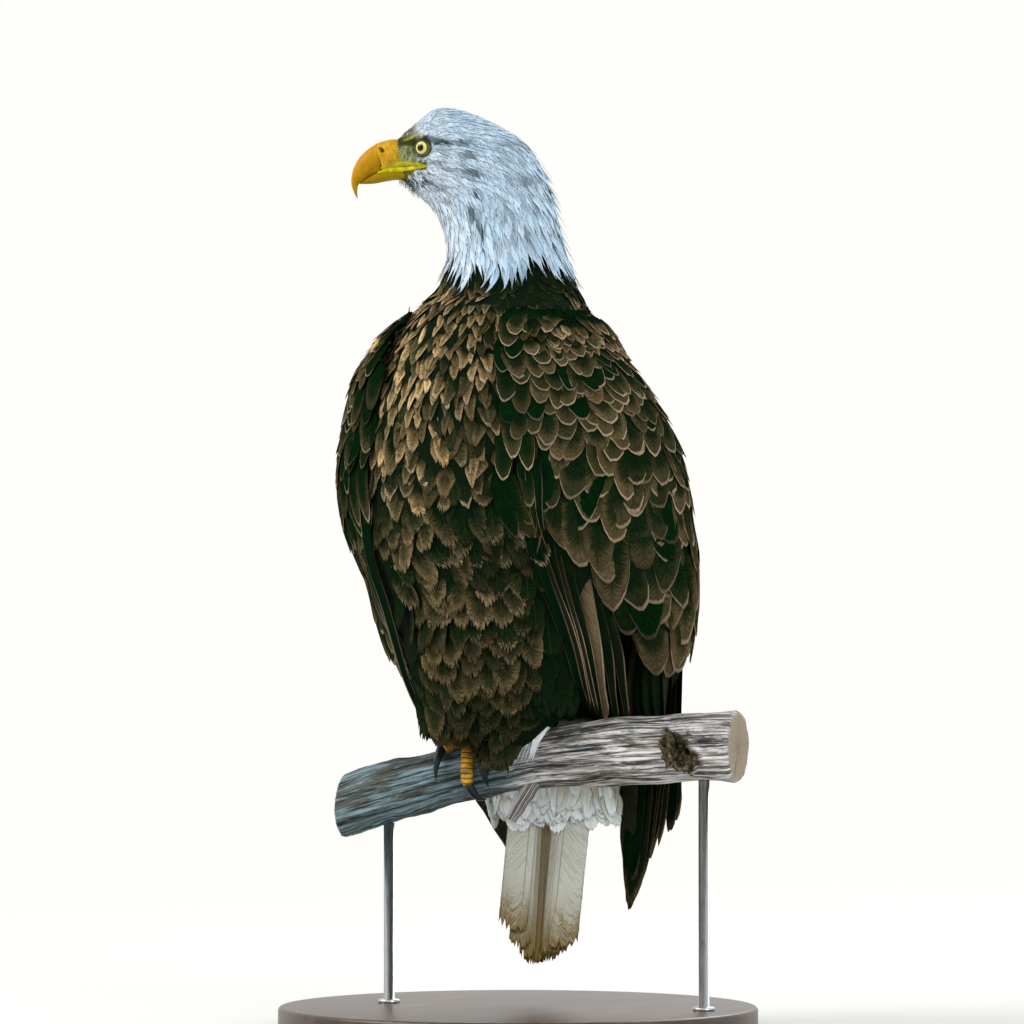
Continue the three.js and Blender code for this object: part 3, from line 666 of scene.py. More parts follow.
# the face gets finer faces and is then shaped
def shapeFace(mesh):
    work = bmesh.new()
    work.from_mesh(mesh)
    work.verts.ensure_lookup_table()

    def inFace(verts):
        local = toHead(np.array([vert.co for vert in verts]) / mm)
        return (local[:, 1] < -62) & (local[:, 2] > 836)
    inside = inFace(work.verts)
    edges = [edge for edge in work.edges if inside[edge.verts[0].index] and inside[edge.verts[1].index]]
    bmesh.ops.subdivide_edges(work, edges=edges, cuts=skin["cuts"], use_grid_fill=True)
    work.verts.ensure_lookup_table()
    chosen = [work.verts[i] for i in np.flatnonzero(inFace(work.verts))]
    for _ in range(10):
        bmesh.ops.smooth_vert(work, verts=chosen, factor=0.5, use_axis_x=True, use_axis_y=True, use_axis_z=True)
    local = toHead(np.array([vert.co for vert in chosen]) / mm)
    x, y, z = local.T
    out = np.zeros(len(x))
    for atY, atZ, spreadY, spreadZ, power, proud in faceForms:
        out += proud * np.exp(-np.hypot((y - atY) / spreadY, (z - atZ) / spreadZ) ** power)
    away, along = toLine(y, z, browRidge["line"])
    out += browRidge["proud"] * np.exp(-(away / browRidge["spread"]) ** 2) * np.sin(np.pi * (0.1 + 0.8 * along))
    # fine folds fan out from the corner of the mouth and round the eye
    out += 0.25 * ripples(local * [0, 1, 2.2], 3.2, 90) * smooth(-84, -94, y) * smooth(898, 890, z)
    local[:, 0] += np.sign(x) * out * smooth(4, 12, np.abs(x))
    for vert, place in zip(chosen, (fromHead(local) * mm).tolist()):
        vert.co = place
    for face in work.faces:
        face.smooth = True
    work.to_mesh(mesh)
    work.free()
    mesh.update()


def buildSkin():
    first = (("hood", 70, 72), ("trunk", 90, 96), ("tail", 40, 48))
    parts = [cappedRings(shellRings(*sizes)) for sizes in first]
    for name, side in sides.items():
        parts += [cappedRings(shellRings(name, 40, 48)), wingShell(side)]
    draft = newPiece("draft", *joined(parts))
    remesh = draft.modifiers.new("remesh", "REMESH")
    remesh.mode = "VOXEL"
    remesh.voxel_size = skin["voxel"] * mm
    soften = draft.modifiers.new("soften", "SMOOTH")
    soften.factor, soften.iterations = 0.5, skin["smoothing"]
    bpy.context.view_layer.update()
    made = bpy.data.meshes.new_from_object(draft.evaluated_get(bpy.context.evaluated_depsgraph_get()))
    bpy.data.objects.remove(draft)
    made.name = "skin"
    shapeFace(made)
    piece = addObject("skin", made)
    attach(piece, "root")
    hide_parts("trunk", "thigh_left", "thigh_right", "head", "neck")
    return piece


skinPiece = buildSkin()
print("skin:", len(skinPiece.data.polygons), "faces")


def searchTree(places):
    tree = KDTree(len(places))
    for i, place in enumerate(places.tolist()):
        tree.insert(place, i)
    tree.balance()
    return tree


# Samples of the shells tell each place of the skin which way its coat lies and what it belongs to:
# 0 is the hood, 1 the trunk, 2 a thigh, 3 the tail coverts and 4 a wing.
def lieSamples():
    sets = [(0, shellRings("hood", 44, 56)), (1, shellRings("trunk", 70, 64))]
    sets += [(2, shellRings(name, 26, 30)[4:]) for name in sides]
    sets.append((3, shellRings("tail", 24, 36)))
    height, t = np.moveaxis(gridOf(np.linspace(709, 385, 50), np.linspace(0, 1, 40)), -1, 0)
    edges = wingEdgesAt(height)
    degrees = edges[..., 0] + (edges[..., 1] - edges[..., 0]) * t
    sets += [(4, onHull(height, degrees, -skin["wingDepth"], side)) for side in sides.values()]
    places = np.concatenate([rings.reshape(-1, 3) for _, rings in sets])
    lies = np.concatenate([unit(np.gradient(rings, axis=0)).reshape(-1, 3) for _, rings in sets])
    return places, lies, np.concatenate([np.full(rings[..., 0].size, label) for label, rings in sets])


class Surface:
    def __init__(self, mesh):
        self.points = readOut(mesh.vertices, "co", 3) / mm
        normals = readOut(mesh.vertex_normals, "vector", 3)
        mesh.calc_loop_triangles()
        self.faces = readOut(mesh.loop_triangles, "vertices", 3, np.int32)
        a, b, c = (self.points[self.faces[:, k]] for k in range(3))
        self.areas = np.linalg.norm(np.cross(b - a, c - a), axis=1) / 2
        self.centres = (a + b + c) / 3
        self.normals = unit(normals[self.faces].mean(1))
        self.tree = BVHTree.FromPolygons(self.points.tolist(), self.faces.tolist())
        places, lies, labels = lieSamples()
        tree = searchTree(places)
        near = [tree.find_n(centre, 4) for centre in self.centres.tolist()]
        index = np.array([[hit[1] for hit in hits] for hits in near])
        weight = 1 / (np.array([[hit[2] for hit in hits] for hits in near]) + 0.5)
        self.labels = labels[index[:, 0]]
        same = (labels[index] == self.labels[:, None]) * weight
        lie = (lies[index] * same[..., None]).sum(1)
        self.lies = unit(lie - self.normals * (lie * self.normals).sum(1, keepdims=True))

    # the nearest places on the skin, with their normals and lies
    def nearest(self, points):
        hits = [self.tree.find_nearest(point) for point in points.tolist()]
        index = np.array([hit[2] for hit in hits])
        return np.array([hit[0] for hit in hits]), self.normals[index], self.lies[index]

    # scattered places no nearer to each other than spacing, which may change, and their faces
    def scatter(self, wanted, spacing, seed, tries=9):
        chance = np.random.default_rng(seed)
        chosen = np.flatnonzero(wanted)
        size = spacing(self.centres[chosen])
        weight = self.areas[chosen] / size ** 2
        count = int(weight.sum() * tries)
        pick = chance.choice(len(chosen), count, p=weight / weight.sum())
        mixA, mixB = np.sqrt(chance.random(count)), chance.random(count)
        corners = self.points[self.faces[chosen[pick]]]
        places = (corners[:, 0] * (1 - mixA)[:, None] + corners[:, 1] * (mixA * (1 - mixB))[:, None]
                + corners[:, 2] * (mixA * mixB)[:, None])
        keys = np.floor(places / float(size.max())).astype(int).tolist()
        around = list(itertools.product((-1, 0, 1), repeat=3))
        grid, kept = {}, []
        for i, ((a, b, c), (x, y, z), gap) in enumerate(zip(keys, places.tolist(), size[pick].tolist())):
            close = (spot for da, db, dc in around for spot in grid.get((a + da, b + db, c + dc), ()))
            if all((p - x) ** 2 + (q - y) ** 2 + (r - z) ** 2 >= gap * gap for p, q, r in close):
                grid.setdefault((a, b, c), []).append((x, y, z))
                kept.append(i)
        return places[kept], chosen[pick][kept]


skinSurface = Surface(skinPiece.data)
print("skin read:", np.bincount(skinSurface.labels))


# Feathers.

# One vane as a grid from root to tip: how far along, how far across, and which corners are below.
def vaneTemplate(shape, seed):
    rows, columns = shape["grid"]
    v, u = np.meshgrid(np.linspace(-1, 1, columns), np.linspace(0, 1, rows) ** shape.get("crowd", 0.9))
    width = shape["rootWidth"] + (1 - shape["rootWidth"]) * smooth(0, shape["shoulder"], u)
    width = width * (1 - shape["narrow"] * smooth(shape["shoulder"], 1, u) ** 1.5)
    along = u * (1 - shape["round"] * np.abs(v) ** shape["power"])
    chance = np.random.default_rng(seed)
    torn = chance.random(columns) * (np.arange(columns) % 2 if shape.get("comb") else 1)
    along = along - torn * shape["ragged"] * u ** 4
    notch = chance.random((rows, 2)) * shape.get("notch", 0.0)
    across = v * width
    across[:, [0, -1]] *= 1 - notch * smooth(0.3, 0.8, u[:, :1])
    onEdge = np.ones(u.shape, bool)
    onEdge[1:-1, 1:-1] = False
    # the upper and the lower side share the corners on the edge
    inside = np.flatnonzero(~onEdge.ravel())
    under = np.arange(rows * columns)
    order = np.concatenate([under, inside])
    under[inside] = rows * columns + np.arange(len(inside))
    top = gridQuads(rows, columns)
    return {
        "along": along.ravel()[order], "across": across.ravel()[order],
        "uv": np.stack([v.ravel() / 2 + 0.5, u.ravel()], 1)[order],
        "below": (np.arange(len(order)) >= rows * columns).astype(float),
        "quads": np.concatenate([top, under[top][:, ::-1]]),
    }


# the nearest free cell of the map for each place on it, so that no two feathers share a patch
def ownCells(places, patch):
    count = int(0.97 / patch)
    want = np.clip((places * count).astype(int), 0, count - 1)
    offsets = sorted(itertools.product(range(-14, 15), repeat=2), key=lambda o: o[0] ** 2 + o[1] ** 2)
    taken, cells = set(), []
    for i, j in want.tolist():
        for di, dj in offsets:
            cell = (min(max(i + di, 0), count - 1), min(max(j + dj, 0), count - 1))
            if cell not in taken:
                break
        taken.add(cell)
        cells.append(cell)
    return (np.array(cells) + 0.5) * patch + 0.015


plainSizes = {"lift": 0, "rise": 0, "curve": 60, "roll": 0, "shaftOff": 0, "curl": 0}
patchCell, patchSize = 0.0034, 0.003


def alongEach(share, values):
    return np.einsum("vk,nkc->nvc", share, values)


# Joins many feathers in one mesh. paths and normals are points along each, and sizes, tone and rim
# hold one value for each or for all. Feathers with a place on the flat map get a patch each there,
# and the others a strip each. only picks some of the feathers.
def growFeathers(name, material, slotName, paths, normals, sizes, tone, rim, shape, seed, nodes=(), flat=None,
        only=slice(None)):
    everyone = len(paths)
    each = {key: np.broadcast_to(np.asarray(value, float), everyone)[only]
            for key, value in {**plainSizes, **sizes}.items()}
    tone = np.column_stack([tone, np.broadcast_to(rim, everyone)])[only]
    paths, normals = paths[only], normals[only]
    count, steps = paths.shape[:2]
    chance = np.random.default_rng(seed)
    kinds = [vaneTemplate(shape, seed + 1 + i) for i in range(shape["kinds"])]
    kind = chance.integers(0, len(kinds), count)
    if flat is None:
        corner = np.stack([0.02 + 0.96 * np.arange(count) / count, np.full(count, 0.02)], 1)
        extent = np.array([0.9 / count, 0.96])
    else:
        corner, extent = ownCells(flat[only], patchCell) - patchSize / 2, patchSize
    rows, total = [], 0
    for k, template in enumerate(kinds):
        chosen = np.flatnonzero(kind == k)
        if not len(chosen):
            continue
        along, inner = template["along"], template["across"]
        weights = curveWeights(steps, along)
        change = curveWeights(steps, along + 0.02) - curveWeights(steps, along - 0.02)
        spine, up = alongEach(weights, paths[chosen]), unit(alongEach(weights, normals[chosen]))
        ahead = unit(alongEach(change, paths[chosen]))
        side = unit(np.cross(ahead, up))
        up = np.cross(side, ahead)
        own = {key: value[chosen][:, None] for key, value in each.items()}
        roll = np.radians(own["roll"])[..., None]
        sideways = side * np.cos(roll) + up * np.sin(roll)
        upright = up * np.cos(roll) - side * np.sin(roll)
        wide = (inner + own["shaftOff"] * (1 - np.abs(inner))) * own["width"] / 2
        height = own["lift"] + (own["rise"] - own["lift"]) * along ** 1.1 - wide ** 2 / (2 * own["curve"])
        height = height + own["curl"] * along ** 4 - template["below"] * own["thick"]
        place = spine + sideways * wide[..., None] + upright * height[..., None]
        number, size = len(chosen), len(along)
        uv = np.broadcast_to(template["uv"], (number, size, 2))
        rows.append((place.reshape(-1, 3),
                (template["quads"] + (total + np.arange(number) * size)[:, None, None]).reshape(-1, 4),
                (corner[chosen][:, None] + uv * extent).reshape(-1, 2), uv.reshape(-1, 2),
                np.repeat(tone[chosen], size, 0), np.repeat(chance.random(number), size)))
        total += number * size
    points, quads, bake, vane, tones, chances = (np.concatenate(column) for column in zip(*rows))
    piece = newPiece(name, points, quads, material, slotName, nodes)
    setUv(piece, "OFBake", bake)
    setUv(piece, "vane", vane)
    setValues(piece, "tone", tones)
    setValues(piece, "chance", chances)
    print(f"{name}: {count} feathers, {2 * len(quads)} triangles")


# Lays paths on the skin from their roots along its lie. Where the skin turns under, they hang.
def layPaths(roots, lengths, steps, sway, hangBelow=-0.35):
    place, normal, lie = skinSurface.nearest(roots)
    paths, normals = [place], [normal]
    angle, stride = np.radians(sway)[:, None], (lengths / steps)[:, None]
    for _ in range(steps):
        ahead = lie * np.cos(angle) + np.cross(normal, lie) * np.sin(angle)
        target = place + ahead * stride
        onSkin, newNormal, newLie = skinSurface.nearest(target)
        off = np.linalg.norm(onSkin - target, axis=1) > 0.45 * lengths / steps
        hang = ((newNormal[:, 2] < hangBelow) | off)[:, None]
        down = unit(ahead * 0.5 + [0, 0, -0.5])
        place = np.where(hang, place + down * stride, onSkin)
        normal = np.where(hang, normal, newNormal)
        lie = np.where(hang, down, newLie)
        paths.append(place)
        normals.append(normal)
    return np.stack(paths, 1), np.stack(normals, 1)


# each colour goes over the ones before it, by its share
def layTones(tone, *layers):
    for colour, share in layers:
        share = np.clip(share, 0, 1)[:, None]
        tone = np.asarray(tone) * (1 - share) + np.asarray(colour) * share
    return tone


# Each coat piece has its own flat map of the skin: round the body as x, up it as y.
def flatRound(points, middleY, low, high):
    angle = np.arctan2(points[:, 0], -(points[:, 1] - middleY)) / (2 * np.pi) + 0.5
    return np.stack([0.04 + 0.9 * angle, 0.04 + 0.9 * (points[:, 2] - low) / (high - low)], 1)


# long feathers in front of the wing: top and bottom height, degrees there and between, width, tan, rim, out
frontFeathers = {
    "left": [(440, 306, 46, 45, 44, 13, 0.2, 0.5, 11), (456, 306, 46.3, 49, 49, 13, 0.1, 0.35, 11.5),
        (478, 306, 45, 53, 53, 19, 1.1, 0.8, 12), (492, 306, 48.2, 54.5, 55.5, 9, 0.1, 0.7, 11),
        (506, 310, 49.7, 56, 57, 8, 0.5, 1.0, 10.5), (520, 312, 49.5, 57, 58.5, 8, 0.1, 1.0, 10),
        (534, 314, 54.5, 57.5, 60.5, 9, 0.4, 0.9, 9.5), (548, 316, 54.6, 59.5, 61, 16, 0.0, 0.22, 9),
        (600, 488, 54.5, 51.5, 53.5, 11, 0.0, 0.25, 5), (596, 472, 56.5, 54, 54.5, 10, 0.15, 0.35, 5.5),
        (606, 494, 58.5, 56.5, 56, 9, 0.0, 0.3, 6)],
    "right": [(444, 318, 45, 42, 39, 19, 0.2, 0.3, 9), (462, 316, 47, 44.5, 42, 18, 0.3, 0.4, 9),
        (480, 314, 50, 47, 44.5, 13, 0.1, 0.3, 9), (498, 314, 52, 50, 48, 17, 0.3, 0.3, 9),
        (514, 314, 54, 52.5, 51, 17, 0.0, 0.5, 9), (530, 314, 56, 55, 54, 16, 0.2, 0.3, 9),
        (546, 316, 58, 57.5, 57, 16, 0.1, 0.4, 9), (560, 318, 60, 60, 60, 15, 0.0, 0.4, 9)],
}


def frontPaths(name, side):
    t = np.linspace(0, 1, 9)
    top, bottom, first, middle, last, width, tan, rim, out = np.array(frontFeathers[name], float).T[:, :, None]
    height = top + (bottom - top) * t
    degrees = first * (1 - t) * (1 - 2 * t) + middle * 4 * t * (1 - t) + last * t * (2 * t - 1)
    onBody = onHull(height, degrees, 0, side)
    normals = onHullNormal(height, degrees, side)
    # how far the skin stands out from the hull there
    starts, aims = (onBody + normals * 70).reshape(-1, 3), -normals.reshape(-1, 3)
    hits = [skinSurface.tree.ray_cast(a, b) for a, b in zip(starts.tolist(), aims.tolist())]
    depth = np.array([70 - hit[3] if hit[3] is not None else 0 for hit in hits]).reshape(height.shape)
    depth = np.clip(depth, -8, 40)
    for _ in range(3):
        depth[:, 1:-1] = np.maximum(depth[:, 1:-1], (depth[:, :-2] + 2 * depth[:, 1:-1] + depth[:, 2:]) / 4)
    # they start under the coverts and come out over the flank's feathers
    depth += -9 + (9 + out) * smooth(0.05, 0.4, t)
    return onBody + normals * depth[..., None], normals, width[:, 0], tan[:, 0], rim[:, 0]


bodyCoat = {
    "breast": {"grid": (7, 9), "rootWidth": 0.4, "shoulder": 0.45, "narrow": 0.32, "round": 0.3,
        "power": 1.7, "ragged": 0.1, "kinds": 10},
    "belly": {"grid": (9, 17), "rootWidth": 0.4, "shoulder": 0.5, "narrow": 0.12, "round": 0.3,
        "power": 1.8, "ragged": 0.2, "comb": True, "kinds": 12},
    "gold": (0.32, 0.215, 0.1), "brown": (0.088, 0.064, 0.03), "dark": (0.0035, 0.0125, 0.0045),
    # lowest height of the tips, across the body along the branch
    "hem": [(-80, 292), (-72, 288), (-40, 281), (-20, 261), (1, 260), (15, 285), (38, 308), (97, 318)],
}
# the white hood ends in points round this height
hoodHem = {"height": 763, "ragged": 12, "size": 34}


# how far a point is to the camera's right
def asideOf(points):
    return 0.788 * points[..., 0] + 0.616 * points[..., 1]


def hemAt(points):
    aside = asideOf(points)
    return (hoodHem["height"] + hoodHem["ragged"] * ripples(points * [1, 1, 0.2], hoodHem["size"], 15)
            + 18 * smooth(30, 62, aside) + 8 * smooth(-55, -75, aside))


def bodySpacing(points):
    z = points[:, 2]
    size = 7.7 + 5.1 * smooth(700, 560, z) + 1.2 * smooth(560, 420, z)
    return size * (1 + 0.13 * ripples(points, 45, 16))


def aboveHem(starts, tips):
    flat = turned(tips, -pose["perchTurn"])
    low = np.interp(flat[:, 0], *np.array(bodyCoat["hem"], float).T)
    share = (starts[:, 2] - low) / np.maximum(starts[:, 2] - tips[:, 2], 1)
    return np.where(flat[:, 1] < 25, np.clip(share, 0, 1), 1)


# the flank that the wing's front edge and its long feathers cover
def underWing(points):
    flat = twisted(points, -1)
    middle, half, front, _ = hullAt(points[:, 2]).T
    angle = np.degrees(np.arctan2((middle - flat[:, 1]) / front, np.abs(flat[:, 0]) / half))
    return (angle < wingEdgesAt(points[:, 2])[:, 0] + 2) & (points[:, 2] > 345) & (points[:, 2] < 500)


def buildBodyCoat():
    surface = skinSurface
    below = surface.centres[:, 2] < hemAt(surface.centres) + 2
    shoulders = (surface.labels == 4) & (surface.centres[:, 2] > 682)
    roots, faces = surface.scatter(((surface.labels <= 2) | shoulders) & below, bodySpacing, 11)
    chance = np.random.default_rng(12)
    count, z, gap = len(roots), roots[:, 2], bodySpacing(roots)
    length = gap * (2.9 + 1.1 * chance.random(count) + 0.7 * smooth(560, 660, z)) + 4 * smooth(420, 340, z)
    sway = chance.normal(0, 9, count) + 8 * ripples(roots, 50, 18)
    paths = layPaths(roots, length, 3, sway)[0]
    share = aboveHem(roots, paths[:, -1])
    # none grow right under the wing's long front feathers or its front edge
    dense = curveWeights(9, np.linspace(0.36, 1, 20))
    plumes = [(dense @ frontPaths(name, side)[0][:8]).reshape(-1, 3) for name, side in sides.items()]
    tree = searchTree(np.concatenate(plumes))
    away = np.array([tree.find(point)[2] for point in paths[:, 1].tolist()])
    kept = (share > 0.3) & (away > 12) & ~(underWing(roots) & (surface.labels[faces] < 3))
    roots, gap, sway, length, away = roots[kept], gap[kept], sway[kept], (length * share)[kept], away[kept]
    paths, normals = layPaths(roots, length, 3, sway)
    count, z, ahead = len(roots), roots[:, 2], asideOf(roots)
    luck, other = chance.random(count), chance.random(count)
    patchy = 0.3 * ripples(roots, 48, 19)
    brown, dark = bodyCoat["brown"], bodyCoat["dark"]
    # golden on the upper breast, less on the side away from the key lamp: partly the feathers' own colour,
    # partly painted light
    chest = smooth(540, 690, z + chance.normal(0, 30, count)) * (1 - 0.6 * smooth(-40, 50, ahead))
    tone = layTones(dark, (brown, np.maximum(1.3 * luck - 0.15 + patchy, 0.14)),
            (bodyCoat["gold"], chest * (1.2 * other - 0.15)))
    # brighter on the side towards the key lamp, most on the upper breast there: painted light
    lampSideLight = 1 + 0.5 * smooth(-30, -110, ahead) + 0.9 * smooth(-50, -100, ahead) * smooth(610, 690, z)
    tone *= (lampSideLight * (0.6 + 0.8 * chance.random(count)))[:, None]
    # a dark band under the white, narrow in front and wide on the side away from the key lamp: painted shade
    # under the hood
    band = 6 + 26 * smooth(-52, -8, ahead)
    collar = smooth(-band - 12, -band + 8, z - hemAt(roots) + chance.normal(0, 3, count))
    # the flank beside the wing's edge, on the side away from the key lamp, is sleek and painted nearly black,
    # and so are the feathers under the wing's long front feathers: painted shade
    flank = smooth(10, 32, ahead + 16 * smooth(450, 370, z) + chance.normal(0, 4, count)) * smooth(600, 540, z)
    covered = smooth(30, 20, away)
    flank = np.maximum(flank, covered)
    tone = layTones(tone, (brown * np.array([0.4, 0.5, 0.42]), smooth(430, 330, z) * 0.7),
            (dark, 0.94 * collar), (dark, 0.93 * flank))
    rim = np.clip((1.25 * other ** 1.5 + patchy) * (0.25 + 0.75 * smooth(350, 500, z)), 0, 1)
    rim *= (1 - 0.94 * collar) * (1 - 0.97 * flank)
    # beside the wing's long feathers they lie low, and on the shoulder over the coverts' roots
    near = smooth(45, 25, away)
    sleek = np.maximum(np.maximum(flank, collar), near)
    shoulder = (surface.labels[faces] == 4)[kept] * smooth(682, 700, z)
    width = gap * (1.7 + 0.6 * chance.random(count)) * (1 + 0.4 * shoulder) * (1 - 0.16 * smooth(560, 660, z))
    rise = (3.0 + 3.6 * chance.random(count) ** 1.5) * (1 - 0.6 * sleek) * (1 - 0.35 * smooth(540, 660, z))
    sizes = {
        "width": width, "lift": -1.5 - 1.5 * near + 4.5 * shoulder,
        "rise": rise * (1 - 0.5 * near) * (1 - 0.8 * covered) + 4 * shoulder,
        "curve": 30 + 30 * chance.random(count), "thick": 0.5, "roll": chance.normal(0, 9, count),
        "curl": chance.normal(-0.8, 1.2, count) * (1 - sleek),
    }
    level = z + chance.normal(0, 30, count)
    body, belly = featherMaterial("bodyFeather", bodyLook), featherMaterial("bellyFeather", bellyLook)
    for name, material, key, seed, only in (
            ("breastFeathers", body, "breast", 13, level >= 555),
            ("bellyFeathers", belly, "belly", 17, (level < 555) & (level > 445)),
            ("thighFeathers", belly, "belly", 18, level <= 445)):
        growFeathers(name, material, "plumage", paths, normals, sizes, tone, rim, bodyCoat[key], seed,
                flat=flatRound(roots, -20, 250, 790), only=only)


buildBodyCoat()


# Head and neck feathers.

hoodCoat = {
    "face": {"grid": (7, 5), "rootWidth": 0.5, "shoulder": 0.3, "narrow": 0.8, "round": 0.35,
        "power": 1.2, "ragged": 0.14, "kinds": 9},
    "neck": {"grid": (9, 7), "rootWidth": 0.45, "shoulder": 0.3, "narrow": 0.88, "round": 0.3,
        "power": 1.2, "ragged": 0.2, "kinds": 12},
    "bristle": {"grid": (5, 3), "rootWidth": 1.0, "shoulder": 0.3, "narrow": 0.8, "round": 0.1,
        "power": 1.0, "ragged": 0.0, "kinds": 3},
    "white": (0.72, 0.815, 0.91), "grey": (0.37, 0.475, 0.57), "olive": (0.2, 0.14, 0.035),
    "smudgeAndShade": (0.013, 0.04, 0.045), "shade": (0.59, 0.74, 0.84), "bristleColour": (0.1, 0.095, 0.025),
    # grey-brown smudges in the white, and painted shadow in two long marks down the neck: along and up, half
    # spreads, strength
    "smudgesAndShadows": [(-84, 890, 4, 2.6, 1.6), (-77, 888, 6, 2.4, 1.4), (-70, 886, 10, 2.6, 1.2),
        (-52, 884.5, 12, 2.6, 1.1), (-72, 878, 7, 3, 0.5),
        (-74, 865, 9, 1.8, 0.8), (-44, 872, 7, 3, 0.9), (-36, 852, 8, 3.5, 1.0), (-44, 857, 7, 1.6, 0.9),
        (-58, 858, 9, 1.6, 0.6), (-84, 846, 6, 3, 0.7), (-70, 840, 7, 3, 0.7), (-35, 832, 7, 3, 0.9),
        # (-39, 812) and (-30, 795) are painted shadow running down the neck
        (-39, 812, 4, 8, 0.8), (-30, 795, 4, 9, 0.7), (-62, 826, 6, 3, 0.5), (0, 884, 16, 5, 0.35),
        (-8, 866, 12, 3, 0.4), (14, 846, 11, 5, 0.5), (15, 790, 4, 9, 0.5), (-6, 818, 4, 9, 0.4)],
}


def hoodSpacing(points):
    local = toHead(points)
    back = smooth(-112, -30, local[:, 1])
    down = smooth(862, 790, local[:, 2])
    return 2.1 + 2.0 * back + 1.5 * down


# how strongly each place on the hood carries the smudges and the painted shadow on the neck
def smudgedAndShadowed(local):
    total = np.zeros(len(local))
    for y, z, spreadY, spreadZ, strength in hoodCoat["smudgesAndShadows"]:
        total += strength * np.exp(-((local[:, 1] - y) / spreadY) ** 2 - ((local[:, 2] - z) / spreadZ) ** 2)
    return total


# the lores, the brow's ridge, the ring round the eye and the corner of the mouth carry no feathers
def bareFace(local):
    x, y, z = np.abs(local[:, 0]), local[:, 1], local[:, 2]
    ring = (((y + 90) / 9.3) ** 2 + ((z - 880.3) / 10.2) ** 2 < 1) & (x > 12)
    lores = (y < -98 + 0.35 * (876 - z) + 1.4 * np.sin(1.3 * z)) & (z > 862) & (z < 888 + 0.22 * (y + 117))
    lores |= (y < -95) & (z > 882) & (z < 891)
    brow = (toLine(y, z, browRidge["line"])[0] < 1.5) & (x > 12)
    mouth = (y < -85) & (z > 859) & (z < 867)
    back = np.where(z < 856.5, -100.6 - 1.2 * (856.5 - z), -100.6 + 3 * (z - 856.5)) + 0.8 * np.sin(1.7 * z)
    mouth |= (y < back) & (z > 849) & (z < 862)
    return ring | lores | brow | mouth | (y < -116)


def hoodFlat(roots):
    return flatRound(roots, -20, 735, 930)


def buildHoodCoat():
    surface = skinSurface
    hood = (surface.labels == 0) & ~bareFace(toHead(surface.centres))
    hood &= surface.centres[:, 2] > hemAt(surface.centres) + 14
    roots = surface.scatter(hood, hoodSpacing, 21)[0]
    chance = np.random.default_rng(22)
    count, gap = len(roots), hoodSpacing(roots)
    y, z = toHead(roots)[:, 1:].T
    down = smooth(865, 780, z) * smooth(-105, -80, y)
    length = gap * (4.8 + 1.6 * chance.random(count)) + 12 * down + 8 * down * chance.random(count)
    length *= 1 - 0.3 * smooth(-80, -100, y)
    edge = smooth(40, 18, roots[:, 2] - hemAt(roots))
    clump = ripples(roots, 15, 24)
    nape = smooth(0, 30, y) * smooth(908, 895, z) * smooth(780, 800, z)
    sway = chance.normal(0, 4, count) + 6 * ripples(roots, 42, 25) + 6 * clump
    paths, normals = layPaths(roots, length, 4, sway, -0.97)
    luck = chance.random(count)
    smudgeAndShade = hoodCoat["smudgeAndShade"]
    tone = layTones(hoodCoat["grey"], (hoodCoat["white"], 0.58 + 0.55 * luck + 0.25 * clump))
    # bluer and darker away from the throat: painted shade on the neck's shaded side; and smudged where the
    # feather's own tip lies, two of the smudges being painted shadow
    shade = smooth(-95, -45, y + 0.3 * (z - 860))
    tone = layTones(tone, (tone * hoodCoat["shade"], shade * (0.55 + 0.45 * chance.random(count))))
    smudgeAndShadowShare = np.clip(1.5 * smudgedAndShadowed(toHead(paths[:, 2])), 0, 1)
    tone = layTones(tone, (smudgeAndShade, smudgeAndShadowShare * (0.65 + 0.35 * chance.random(count))))
    # clumps of cheek and neck feathers darkened with the dark teal in streaks: painted shade between the white
    # locks
    streaks = smooth(0.35, 1.1, ripples(roots * [1, 1, 0.5], 11, 28)) * smooth(-98, -80, y)
    streaks *= 0.5 * chance.random(count) * (0.35 + 0.65 * smooth(900, 870, z))
    forehead = smooth(-95, -104, y + 0.25 * (z - 900)) * smooth(884, 889, z)
    chin = smooth(-99, -107, y) * smooth(856, 850, z)
    lores = smooth(-82, -96, y) * smooth(880, 872, z) * smooth(862, 866, z)
    # small dark bars under the corner of the mouth
    barred = smooth(-80, -90, y) * smooth(862, 858, z) * smooth(838, 846, z) * (chance.random(count) < 0.34)
    tone = layTones(tone, (smudgeAndShade, streaks), (hoodCoat["olive"], forehead * (0.6 + 0.4 * luck)),
            (hoodCoat["bristleColour"], chin * 0.7 * luck ** 0.5),
            ((0.16, 0.2, 0.13), lores * (0.6 + 0.4 * luck)), ((0.02, 0.022, 0.012), 0.85 * barred))
    plain = (1 - forehead) * (1 - barred) * (1 - lores) * (1 - chin)
    plain *= (1 - 0.9 * smudgeAndShadowShare) * (1 - 0.35 * shade) * (1 - streaks)
    edged = (0.3 + 0.7 * luck) * plain
    sizes = {
        "width": gap * (1.35 + 0.55 * chance.random(count)), "lift": -0.6,
        # a few tips stand loose at the nape
        "rise": 0.6 + 0.3 * gap + 0.4 * luck + 0.6 * np.maximum(clump, 0) + 3.5 * edge
        + 6 * nape * (luck > 0.78),
        "curve": 16, "thick": 0.25, "roll": chance.normal(0, 5, count), "curl": 0.2 * gap * (luck - 0.5),
    }
    material = featherMaterial("hoodFeather", whiteLook)
    for key, seed, only in (("face", 23, gap <= 3.9), ("neck", 29, gap > 3.9)):
        growFeathers(f"{key}Feathers", material, "hood", paths, normals, sizes, tone, edged,
                hoodCoat[key], seed, flat=hoodFlat(roots), only=only)


buildHoodCoat()


